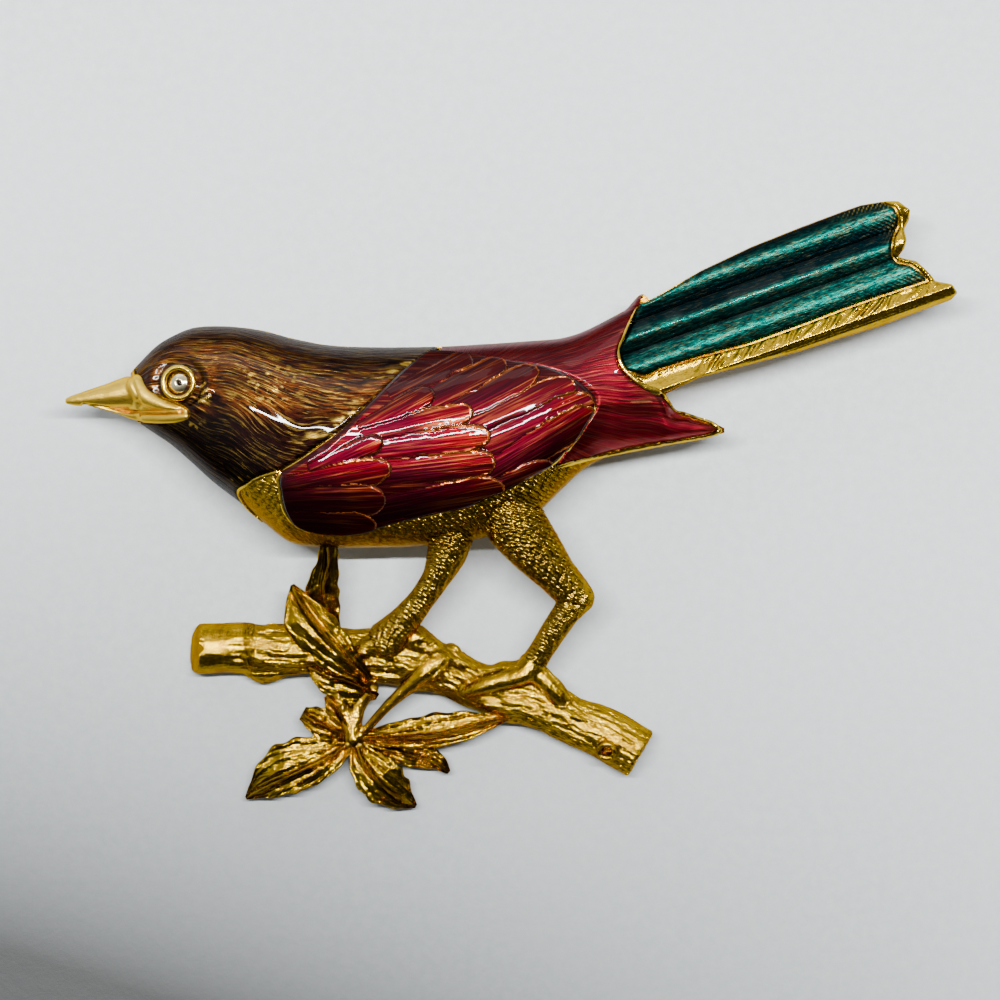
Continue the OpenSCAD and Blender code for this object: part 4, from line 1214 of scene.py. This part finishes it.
tail = {
    "length": 24.6,
    "width": 9.6,
    "depth": 2.5,
    "turn": 19.5,
    "base": 5.3,
    "tipRise": 0.5,
    "enamel": 0.33,
    "spacing": 0.1,
}
tailOutline = [
    (0.03, 0.372), (0.052, 0.378), (0.237, 0.466), (0.417, 0.515), (0.5925, 0.533), (0.732, 0.54),
    (0.8, 0.539), (0.865, 0.5075), (0.9176, 0.46), (0.945, 0.356), (0.93, 0.275), (0.905, 0.22),
    (0.9, 0.13), (0.884, 0.066), (0.857, 0.02), (0.9075, -0.062), (0.9365, -0.2025), (0.944, -0.272),
    (0.99, -0.34), (1, -0.4275), (0.973, -0.466), (0.868, -0.468), (0.729, -0.475), (0.561, -0.455),
    (0.456, -0.449), (0.289, -0.412), (0.121, -0.375), (0.014, -0.402), (-0.03, -0.42)]
greenEdge = [
    (0.87, 0.5), (0.9, 0.42), (0.905, 0.33), (0.89, 0.25), (0.865, 0.19), (0.85, 0.12), (0.84, 0.05),
    (0.85, -0.02), (0.885, -0.07), (0.91, -0.16), (0.925, -0.255), (0.83, -0.248), (0.66, -0.243),
    (0.484, -0.2525), (0.31, -0.255), (0.143, -0.2175), (0, -0.205), (-0.045, -0.225)]
# ridges across the width: share of the width, share of the depth
tailProfile = [(-0.56, 0.2), (-0.5, 0.3), (-0.44, 0.74), (-0.36, 1.06), (-0.255, 0.8), (-0.12, 1),
               (0.01, 0.76), (0.125, 1), (0.245, 0.74), (0.39, 0.96), (0.5, 0.66), (0.56, 0.3)]
tailRows = [(-0.22, 1), (0.2, 1), (0.6, 0.88), (1.02, 0.7)]
tailPlace = fromShares([(0.874, 0.46)])[0]


def toTail(plan):
    return np.column_stack(spun(*(np.atleast_2d(plan) - tailPlace).T, tail["turn"]))


def fromTail(local):
    return np.column_stack(spun(*local.T, -tail["turn"])) + tailPlace


def tailShares(local):
    return local[:, 0] / tail["length"], local[:, 1] / tail["width"]


def tailTop(local):
    # height of the ridged feathers, and how high the ridge stands
    p, q = tailShares(local)
    depth = rowCurve(tailRows, np.clip(p, -0.22, 1.02), 1) * tail["depth"]
    ridge = rowCurve(tailProfile, np.clip(q, -0.56, 0.56), 1)
    ridge = np.where(np.abs(q) < 0.43, mix(ridge, 0.9, 0.35), ridge)
    return tail["base"] + tail["tipRise"] * np.maximum(p, 0) + ridge * depth, ridge


def tailFloor(local):
    return tail["base"] + tail["tipRise"] * np.maximum(tailShares(local)[0], 0)


def tailPoints(local, z):
    return np.column_stack([fromTail(local), z])


def tailLine(shares):
    return np.asarray(shares, float) * np.array([tail["length"], tail["width"]])


tailRootLocal = toTail(fromShares(lineOf["tailRoot"]))
greenOutline = np.vstack([tailRootLocal[15:43][::-1], tailLine(greenEdge[::-1]),
                          tailLine(tailOutline[:8][::-1])])
stripOutline = np.vstack([tailLine(greenEdge), tailRootLocal[:15][::-1], tailLine(tailOutline[7:][::-1])])
wholeOutline = np.vstack([tailRootLocal[:43][::-1], tailLine(tailOutline[::-1])])


def buildTailMetal():
    def upper(chart):
        return tailPoints(chart, tailTop(chart)[0] - tail["enamel"] - 0.02), {}

    def lower(chart):
        grooves = 0.06 * np.cos(chart[:, 1] / tail["width"] * 2 * math.pi / 0.25)
        return tailPoints(chart, tailFloor(chart) + grooves)

    points, faces, _ = fieldShell(shrink(wholeOutline, 0.06), 0.25, upper, lower, 0.25)
    makePiece("tail_metal", points, faces, backGold)


def barbs(chart, pitch, slant):
    # fine slanting ridges either side of a feather's shaft
    phase = chart[:, 0] - np.abs(chart[:, 1]) * slant + 0.06 * latticeNoise(chart, 1.2, 61)
    return (np.sin(phase * 2 * math.pi / pitch) * 0.5 + 0.5) ** 1.5


def buildTailEnamel():
    outline = resample(shrink(greenOutline, 0.13), 0.14, closed=True)
    shafts = np.array([-0.12, 0.125, 0.39])

    def upper(chart):
        z, ridge = tailTop(chart)
        p, q = tailShares(chart)
        nearest = shafts[np.argmin(np.abs(q[:, None] - shafts[None]), axis=1)]
        off = (q - nearest) * tail["width"]
        cut = barbs(np.column_stack([chart[:, 0], off]), 0.42, 1.1)
        cut = cut * smoothStep(0.35, 0.85, p) * smoothStep(0.1, 0.35, np.abs(off))
        bright = smoothStep(0.74, 1.0, ridge)
        tone = 0.12 + 0.55 * bright + 0.12 * latticeNoise(chart, 0.8, 62) + 0.18 * cut * bright
        # dark valleys and bright crests across the width
        tone -= 0.5 * bell(q - 0.2, 0.1) * smoothStep(0.02, 0.2, p)
        tone += 0.3 * bell(q + 0.1, 0.05) + 0.3 * bell(q - 0.1, 0.04) * smoothStep(0.1, 0.4, p)
        tone -= 0.4 * bell(q - 0.24, 0.07)
        tone = tone * (1 - 0.55 * smoothStep(0.44, 0.52, q)) * mix(0.6, 1, smoothStep(-0.02, 0.12, p))
        bare = 0.5 * smoothStep(0.75, 0.98, cut) * smoothStep(0.82, 0.96, p)
        bare += 0.35 * smoothStep(0.65, 1, cut) * smoothStep(0.45, 0.5, q) * smoothStep(0.6, 0.85, p)
        z = z + 0.035 * cut * (0.4 + smoothStep(0.72, 0.9, p)) + edgeRound(chart, outline, 0.25, 0.13)
        z -= 0.1 * bell(q - 0.01, 0.012) + 0.1 * bell(q - 0.245, 0.012)
        # only the middle feather is glossy enough for a broken line of light
        glossy = bell(q - 0.1, 0.09) * smoothStep(-0.1, 0.35, latticeNoise(chart * [1.0, 0.2], 0.8, 66))
        return tailPoints(chart, z), {
            "bare": np.clip(bare, 0, 1), "tone": np.clip(tone, 0, 1),
            "chart": flowChart(chart[:, 0], off, nearest * 40),
            "matt": 0.9 * (1 - glossy * smoothStep(0.75, 0.6, p))}

    def lower(chart):
        return tailPoints(chart, tailTop(chart)[0] - tail["enamel"] + 0.02)

    enamelPiece("tail_green", outline, tail["spacing"], upper, lower, greenEnamel, "tail_enamel",
                "green_enamel")


def buildTailStrip():
    outline = resample(shrink(stripOutline, 0.03), 0.12, closed=True)
    shaft = -0.36

    def upper(chart):
        z = tailTop(chart)[0]
        p, q = tailShares(chart)
        off = (q - shaft) * tail["width"]
        above = off > 0
        phase = (chart[:, 0] - np.where(above, off * 1.5, -off * 0.5)) * 2 * math.pi
        coarse = (np.sin(phase / 1.05 + latticeNoise(chart, 0.6, 63) * 3.6) * 0.5 + 0.5) ** 1.3
        coarse *= np.clip(0.75 + 0.6 * latticeNoise(chart, 0.9, 67), 0.2, 1.3)
        coarse = 0.18 * coarse * smoothStep(0, 0.25, off) * smoothStep(0.05, 0.2, p)
        fine = np.sin(off * 2 * math.pi / 0.24 + latticeNoise(chart, 0.5, 64)) * 0.5 + 0.5
        strip, cup = smoothStep(-0.2, -0.26, q), smoothStep(-0.02, 0.08, q)
        z = z + strip * np.where(above, coarse, 0.035 * fine)
        z += 0.1 * bell(off, 0.12) * strip
        z += (1 - strip) * (1 - cup) * 0.05 * np.sin(phase / 0.5) - 0.25 * cup * smoothStep(0.9, 0.93, p)
        z += edgeRound(chart, outline, 0.2, 0.14) + 0.02 * latticeNoise(chart, 2.5, 65)
        return tailPoints(chart, z), {}

    def lower(chart):
        return tailPoints(chart, tailFloor(chart) + 0.02)

    points, faces, _ = fieldShell(outline, 0.085, upper, lower, 0.4)
    makePiece("tail_gold_feather", points, faces, castGold, None, 60)


buildTailMetal()
buildTailEnamel()
buildTailStrip()
print("tail built")


# branch

branch = {
    "width": 3.84,
    "middle": 1.69,
    "cell": 0.11,
    "bark": 0.13,
}
# middle of the branch in the picture, and its radius as a share of its width
branchRows = [
    (190, 650, 0.5), (196, 650.3, 0.53), (222, 649.5, 0.53), (248, 649, 0.525), (251, 649, 0.49),
    (285, 651, 0.52), (320, 652, 0.49), (350, 654, 0.5), (385, 658, 0.57), (415, 663, 0.58),
    (445, 672, 0.51), (475, 686, 0.48), (505, 697, 0.54), (530, 703, 0.54), (555, 714, 0.52),
    (575, 724, 0.5), (600, 733.5, 0.52), (625, 747, 0.54), (641, 756, 0.52)]


# twigs, stubs and toes on it: rows of picture place, height and radius
branchLimbs = [
    [(531, 667, 4.0, 1.2), (521, 676, 4.3, 0.9), (500, 682, 4.15, 0.72), (480, 688, 3.8, 0.66),
     (466, 693, 3.2, 0.5)],
    [(536, 674, 3.9, 0.95), (547, 683, 3.95, 0.82), (557, 693, 3.8, 0.84), (562, 699, 3.5, 0.8)],
    [(520, 672, 3.2, 0.9), (500, 672, 3.0, 0.7), (482, 674, 2.7, 0.5)],
    [(398, 632, 3.3, 1.3), (375, 645, 3.2, 1.1), (358, 655, 3.0, 0.8)],
    [(415, 640, 3.2, 1.2), (440, 655, 3.0, 0.9), (470, 672, 2.8, 0.7)],
    [(450, 655, 2.6, 0.9), (438, 663, 3.35, 1.0), (425, 673, 3.7, 0.9), (408, 688, 3.3, 0.62),
     (386, 708, 2.7, 0.42), (364, 733, 2.1, 0.36)],
    [(250, 672, 1.5, 0.7), (265, 675, 1.3, 0.85), (280, 673, 1.5, 0.6)],
    [(455, 690, 1.9, 0.8), (470, 697, 1.9, 0.7), (490, 708, 1.9, 0.7)],
    [(318, 676, 2.5, 0.7), (335, 695, 2.3, 0.55), (350, 735, 2.0, 0.55)],
    [(370, 690, 2.3, 0.6), (356, 712, 2.1, 0.5), (352, 740, 1.9, 0.7)]]
# toes, stub and stem, where there is no bark
plainWays = [
    [(540, 660), (527, 674), (505, 681), (480, 688), (466, 693)], [(536, 674), (547, 683), (562, 699)],
    [(438, 662), (427, 672), (408, 688), (386, 708), (364, 733)]]
knotAt = (607.7, 751.3)


def buildBranch():
    rows = np.asarray(branchRows, float)
    line = smoothLine(np.column_stack([fromPicture(rows[:, :2]), rows[:, 2] * branch["width"]]), 14)
    centre = np.column_stack([line[:, :2], np.full(len(line), branch["middle"])])
    along = unit(np.gradient(centre, axis=0))
    side = np.cross(along, [0, 0, 1.0])
    turn = roundTurn(40)
    rings = []
    for i in range(len(line)):
        circle = side[i] * np.cos(turn)[:, None] + np.array([0, 0, 1.0]) * np.sin(turn)[:, None]
        ring = centre[i] + line[i, 2] * circle
        # the left end is cut at a slant, so that its round face shows from above
        slant = np.clip(1 - i / 14, 0, 1)
        ring[:, 0] += slant * (ring[:, 2] - branch["middle"]) * 0.4 + slant * 0.35
        ring[:, 2] = np.maximum(ring[:, 2], 0.03)
        rings.append(ring)
    knotRing = [(0.62 + 0.27 * math.cos(t), 0.24 + 0.3 * math.sin(t)) for t in roundTurn(16)]
    parts = [tubeMesh(rings)] + [limbMesh(*inFrame(limb)) for limb in branchLimbs]
    knotPlace = np.append(fromPicture([knotAt])[0], 3.5)
    parts.append(turned(knotRing, knotPlace, (-0.12, -0.42, 0.9), 40, capped=False))
    points, faces = fuse(parts, branch["cell"], 3)
    normals = pointNormals(points, faces)
    at = toPicture(points[:, :2])
    plain = np.clip(sum(smoothStep(1.0, 0.55, awayFrom(at, way)) for way in plainWays), 0, 1)
    plain = plain * smoothStep(2.4, 3.0, points[:, 2] + smoothStep(430, 380, at[:, 0]) * 1.2)
    # places along and round the branch, from the nearest point of every third one of its middle line
    middle = smoothLine(rows[:, :2], 6)
    nearest = np.argmin(((at[:, None, :] - middle[None, ::3]) ** 2).sum(2), axis=1)
    flow = unit(np.gradient(middle, axis=0)[::3][nearest])
    rel = at - middle[::3][nearest]
    run = (nearest * 3 / len(middle) * 40) + (rel * flow).sum(1) * pixel
    beside = (rel[:, 0] * -flow[:, 1] + rel[:, 1] * flow[:, 0]) * pixel
    across = np.arctan2(points[:, 2] - branch["middle"], beside) * 1.9
    chart = np.column_stack([run, across])
    bark = latticeNoise(chart * [0.55, 2.3], 1, 71) + 0.5 * latticeNoise(chart * [1.3, 5.0], 1, 72)
    bark = np.sign(bark) * np.abs(bark) ** 0.8
    lump = latticeNoise(points, 0.55, 73)
    rough = 1 - smoothStep(250, 215, at[:, 0]) * 0.65
    lined = smoothStep(545, 580, at[:, 0])
    bark = mix(bark, 0.55 * np.sin(across * 2 * math.pi / 0.55 + bark * 1.2), lined * 0.6)
    height = branch["bark"] * bark * rough + 0.12 * lump * rough
    knot = np.linalg.norm(at - np.array(knotAt), axis=1) * pixel
    height = height * smoothStep(0.85, 1.2, knot) * (1 - 0.85 * plain) - 0.2 * bell(knot, 0.26)
    face = (np.abs(along[0] @ normals.T) > 0.8) & (at[:, 0] < 212)
    height = np.where(face, 0.06 * latticeNoise(points, 2.6, 74), height)
    keep = smoothStep(0.0, 0.25, points[:, 2]) * smoothStep(200, 222, at[:, 0])
    points = points + normals * (height * keep)[:, None]
    points[:, 2] = np.maximum(points[:, 2], 0)
    lines = flowChart(run + 0.3 * lump, across * smoothStep(238, 256, at[:, 0]) * (1 - 0.9 * plain))
    makePiece("branch", points, faces, barkGold, {"chart": lines}, 60)


buildBranch()
print("branch built")


# leaves

leaves = {
    "thick": 0.75,       # thickness in the middle and at the edge
    "edge": 0.34,
    "rim": 0.08,         # height of the raised border
    "rib": 0.26,
    "vein": 0.09,
    "veins": 2.6,        # long veins on each half of a leaf
    "alongSteps": 96,
    "acrossSteps": 44,
}
# for each leaf: middle rib as picture places and heights, half widths to its left and right seen from the
# base, how far its two sides fold down, and how crumpled it is
leafTable = {
    "leaf_front": ([(368, 682, 3.4), (345, 658, 4.4), (320, 631, 4.75), (303, 609, 4.6), (291, 585, 4.0)],
                   [5, 20, 26, 25, 2], [6, 13, 18, 17, 2], 0.42, 0.3, 0.1),
    "leaf_belly": ([(333, 650, 3.2), (327, 620, 3.7), (323, 590, 4.4), (327, 566, 5.1), (329, 543, 5.8)],
                   [9, 14, 18, 13, 8], [9, 12, 16, 12, 8], 0.2, 0.2, 0.18),
    "leaf_folded": ([(377, 698, 2.7), (360, 688, 3.3), (344, 681, 3.4), (326, 677, 3.3), (306, 667, 3.0)],
                    [4, 20, 22, 16, 3], [3, 5, 6, 6, 2], 0.5, 0.5, 0.1),
    "leaf_upper": ([(352, 739, 2.1), (345, 726, 2.5), (337, 712, 2.6), (325, 697, 2.5)],
                   [4, 10, 12, 4], [4, 8, 8, 3], 0.3, 0.3, 0.1),
    "leaf_blunt": ([(351, 740, 2.1), (334, 733, 2.6), (317, 725, 2.7), (300, 716, 2.2)],
                   [4, 12, 13, 6], [4, 14, 17, 8], 0.15, 0.25, 0.22),
    "leaf_left": ([(354, 741, 2.1), (328, 759, 2.6), (300, 773, 2.7), (270, 787, 2.2), (243, 802, 1.2)],
                  [4, 15, 19, 14, 1.5], [5, 24, 35, 27, 2], 0.3, 0.12, 0.12),
    "leaf_low": ([(354, 744, 2.1), (362, 764, 2.7), (378, 784, 2.9), (396, 799, 2.3), (415, 810, 1.2)],
                 [4, 21, 25, 19, 2], [4, 17, 21, 14, 2], 0.28, 0.34, 0.14),
    "leaf_torn": ([(356, 744, 1.8), (385, 752, 2.1), (412, 758, 2.1), (434, 765, 1.7), (448, 776, 1.3)],
                  [4, 10, 14, 14, 3], [4, 9, 12, 9, 2], 0.15, 0.3, 0.25),
    "leaf_right": ([(355, 741, 2.1), (395, 741, 2.9), (435, 737, 3.2), (472, 729, 3.1), (512, 719, 2.6)],
                   [4, 17, 22, 16, 1.5], [4, 9, 12, 10, 1.5], 0.35, 0.4, 0.08)}


def leafMesh(path, left, right, foldLeft, foldRight, crumple, seed):
    rows, columns = leaves["alongSteps"], leaves["acrossSteps"]

    def noise(points, scale, shift):
        return latticeNoise(points, scale, seed + shift).reshape(rows, columns)

    path = np.asarray(path, float)
    line = smoothLine(np.column_stack([fromPicture(path[:, :2]), path[:, 2]]), 12)
    line = resample(line, np.linalg.norm(np.diff(line, axis=0), axis=1).sum() / (rows - 1))[:rows]
    f = np.linspace(0, 1, rows)
    table = np.column_stack([np.linspace(0, 1, len(left)), left, right])
    widthLeft, widthRight = (np.maximum(rowCurve(table, f, k), 0.6) * pixel for k in (1, 2))
    along = unit(np.gradient(line[:, :2], axis=0))
    across = np.column_stack([-along[:, 1], along[:, 0]])
    g = np.linspace(-1, 1, columns)
    # how far along the leaf each point lies, and how far to the side, from -1 to 1
    runs, sides = np.meshgrid(f, np.sign(g) * np.abs(g) ** 1.15, indexing="ij")
    out = np.abs(sides)
    wide = np.where(sides > 0, widthLeft[:, None], widthRight[:, None])
    notch = 1 + 0.05 * np.sin(runs * 34 + seed) * smoothStep(0.1, 0.4, runs) + 0.05 * noise(
        np.column_stack([runs.ravel() * 9, np.sign(sides).ravel() + seed]), 1, 0)
    reach = sides * wide * (1 + (notch - 1) * out ** 3)
    xy = line[:, None, :2] + across[:, None] * reach[..., None]
    flat = xy.reshape(-1, 2)
    rib = leaves["rib"] * bell(reach, 0.17) * smoothStep(1.05, 0.8, runs)
    gutter = -0.12 * bell(np.abs(reach) - 0.38, 0.2)
    bend = 0.15 * noise(np.column_stack([runs.ravel() * 4, sides.ravel() * 2 + seed * 3]), 1, 70)
    phase = (out * leaves["veins"] - runs * 1.5 + bend + seed * 0.3) * math.pi
    vein = leaves["vein"] * (1.3 * np.abs(np.sin(phase)) ** 12 - 0.3) * smoothStep(
        0.12, 0.35, out) * (1 - smoothStep(0.9, 1, out))
    rough = crumple * noise(flat, 1.1, 80) + 0.35 * crumple * noise(flat, 2.6, 90)
    stipple = 0.16 * crumple * noise(flat, 4.0, 95) * np.clip(0.6 + noise(flat, 0.9, 97), 0, 1.3)
    rim = leaves["rim"] * smoothStep(0.82, 0.95, out) * (1 - smoothStep(0.97, 1, out))
    folded = line[:, None, 2] - np.where(sides > 0, foldLeft, foldRight) * np.abs(reach)
    top = folded + stipple + rib + gutter + vein + rough * out ** 0.5 + rim
    bottom = folded + rough * 0.7 - mix(leaves["thick"], leaves["edge"], out ** 2)
    heights = np.maximum(top, 0.25), np.maximum(bottom, 0.02)
    points = np.vstack([np.dstack([xy, z]).reshape(-1, 3) for z in heights])
    count = rows * columns
    length = np.linalg.norm(np.diff(line, axis=0), axis=1).sum()
    chart = flowChart(runs.ravel() * length,
                      reach.ravel() - np.abs(runs * 1.2).ravel() * np.sign(sides).ravel(), seed * 5.0)
    faces = gridFaces(rows, columns, 0, flip=True) + gridFaces(rows, columns, count)
    edge = list(range(columns)) + [i * columns + columns - 1 for i in range(1, rows)]
    edge += [(rows - 1) * columns + j for j in range(columns - 2, -1, -1)]
    edge += [i * columns for i in range(rows - 2, 0, -1)]
    faces += [[a, b, b + count, a + count] for a, b in zip(edge, edge[1:] + edge[:1])]
    return points, faces, {"chart": np.vstack([chart, chart])}


def buildLeaves():
    for number, (name, row) in enumerate(leafTable.items()):
        points, faces, facts = leafMesh(*row, seed=number + 1)
        makePiece(name, points, faces, leafGold, facts, 60)
    # picture place, height and radius of the balls that join the stems
    heart = [ballMesh(np.append(fromPicture([(u, v)])[0], z), r) for u, v, z, r in (
        (352, 741, 2.3, 0.5), (347, 747, 2.2, 0.36), (359, 737, 2.4, 0.36), (359, 748, 2.3, 0.3))]
    makePiece("spray_heart", *fuse(heart, 0.08, 2), castGold, None, 60)


buildLeaves()
print("leaves built")


# pin on the back, shown as it is

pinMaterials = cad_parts["pin_finding"].data.materials
pinMaterials.clear()
pinMaterials.append(brightGold)


# floor, light and camera

ground = {
    "reach": 0.9,        # metres from the middle to each side
    "pale": (0.66, 0.715, 0.725),
    "white": (0.76, 0.81, 0.82),
    "cloud": (0.74, 0.775, 0.8),
    # painted shade: the colour the floor darkens to at the lower left
    "dark": (0.02, 0.022, 0.022),      # what it falls off to at the lower left
}
light = {
    "around": 0.85,      # brightness of the room on the lit side, on the viewer's side and straight above
    "behind": 0.06,
    "above": 0.16,
    "strip": 9.5,        # narrow lamp overhead, which draws the thin white lines
    "window": 0.55,      # broad dim window, low behind the bird's back
}
camera = {
    "place": (-0.721, 0.917, 406),     # millimetres
    "lens": 180,
    "sensor": 36,
}


def buildStage():
    mesh = bpy.data.meshes.new("floor")
    reach = ground["reach"]
    mesh.from_pydata([(-reach, -reach, 0), (reach, -reach, 0), (reach, reach, 0), (-reach, reach, 0)], [],
                     [(0, 1, 2, 3)])
    material, tree, shader = newMaterial("paleSurface")
    place = newNode(tree, "ShaderNodeTexCoord").outputs["Object"]
    scaled = vectorNode(tree, "MULTIPLY", place, perMetre)
    mottle = newNode(tree, "ShaderNodeTexNoise", {
        "Vector": scaled, "Scale": 1.1, "Detail": 5.0, "Roughness": 0.7}).outputs[0]
    cloud = newNode(tree, "ShaderNodeTexNoise", {"Vector": scaled, "Scale": 0.03, "Detail": 2.0}).outputs[0]
    tint = colourMix(tree, mapRange(tree, mottle, 0.3, 0.7, 0.0, 1.0), ground["pale"], ground["white"])
    tint = colourMix(tree, mapRange(tree, cloud, 0.35, 0.65, 0.0, 0.35), tint, ground["cloud"])
    where = newNode(tree, "ShaderNodeSeparateXYZ", {0: place}).outputs
    # painted shade: the floor's colour falls off towards the lower left
    down, left = (newNode(tree, "ShaderNodeMapRange", dict(enumerate(values))).outputs[0] for values in (
        (where[1], 0.041, -0.043, 0.0, 1.0), (where[0], 0.039, -0.041, 0.48, 1.2)))
    paintedFalloff = mathNode(tree, "MULTIPLY", mathNode(tree, "MULTIPLY", down, down), left, True)
    feed(tree, shader["Base Color"], colourMix(tree, paintedFalloff, tint, ground["dark"]))
    feed(tree, shader["Normal"], bumpNode(tree, 0.06, mottle, strength=0.35))
    feed(tree, shader["Roughness"], 0.55)
    mesh.materials.append(material)
    floor = addObject("floor", mesh)


def addLamp(name, place, size, power, colour=(1, 1, 1)):
    lamp = bpy.data.lights.new(name, "AREA")
    lamp.shape = "RECTANGLE"
    lamp.size, lamp.size_y = size
    lamp.energy = power
    lamp.color = colour
    holder = addObject(name, lamp)
    holder.location = place
    holder.rotation_mode = "QUATERNION"
    holder.rotation_quaternion = (Vector((0, 0, 0.005)) - Vector(place)).to_track_quat("-Z", "Y")


def buildLight():
    world = bpy.data.worlds.new("room")
    bpy.context.scene.world = world
    world.use_nodes = True
    tree = world.node_tree
    direction = newNode(tree, "ShaderNodeTexCoord").outputs["Generated"]
    side = newNode(tree, "ShaderNodeVectorMath", {0: direction, 1: (-0.4, 0.9, 0.0)}, operation="DOT_PRODUCT")
    level = mapRange(tree, side.outputs["Value"], -0.55, 0.6, light["behind"], light["around"])
    height = newNode(tree, "ShaderNodeSeparateXYZ", {0: direction}).outputs[2]
    ceiling = mapRange(tree, height, 0.84, 0.98, 0.0, 1.0)
    level = newNode(tree, "ShaderNodeMix", {0: ceiling, 2: level, 3: light["above"]},
                    data_type="FLOAT").outputs[0]
    colour, strength = tree.nodes["Background"].inputs[:2]
    feed(tree, colour, (0.88, 0.94, 1.0))
    feed(tree, strength, level)
    addLamp("stripLight", (0.0, 0.1, 0.62), (0.5, 0.013), light["strip"])
    addLamp("windowLight", (-0.2, 0.56, 0.4), (0.5, 0.25), light["window"], (1.0, 0.99, 0.96))


def buildCamera():
    view = bpy.data.cameras.new("view")
    view.sensor_width = camera["sensor"]
    view.lens = camera["lens"]
    view.clip_start, view.clip_end = 0.01, 10
    view.dof.use_dof = False
    holder = addObject("view", view)
    holder.location = tuple(v * mm for v in camera["place"])
    bpy.context.scene.camera = holder


buildStage()
buildLight()
buildCamera()
print("stage ready")
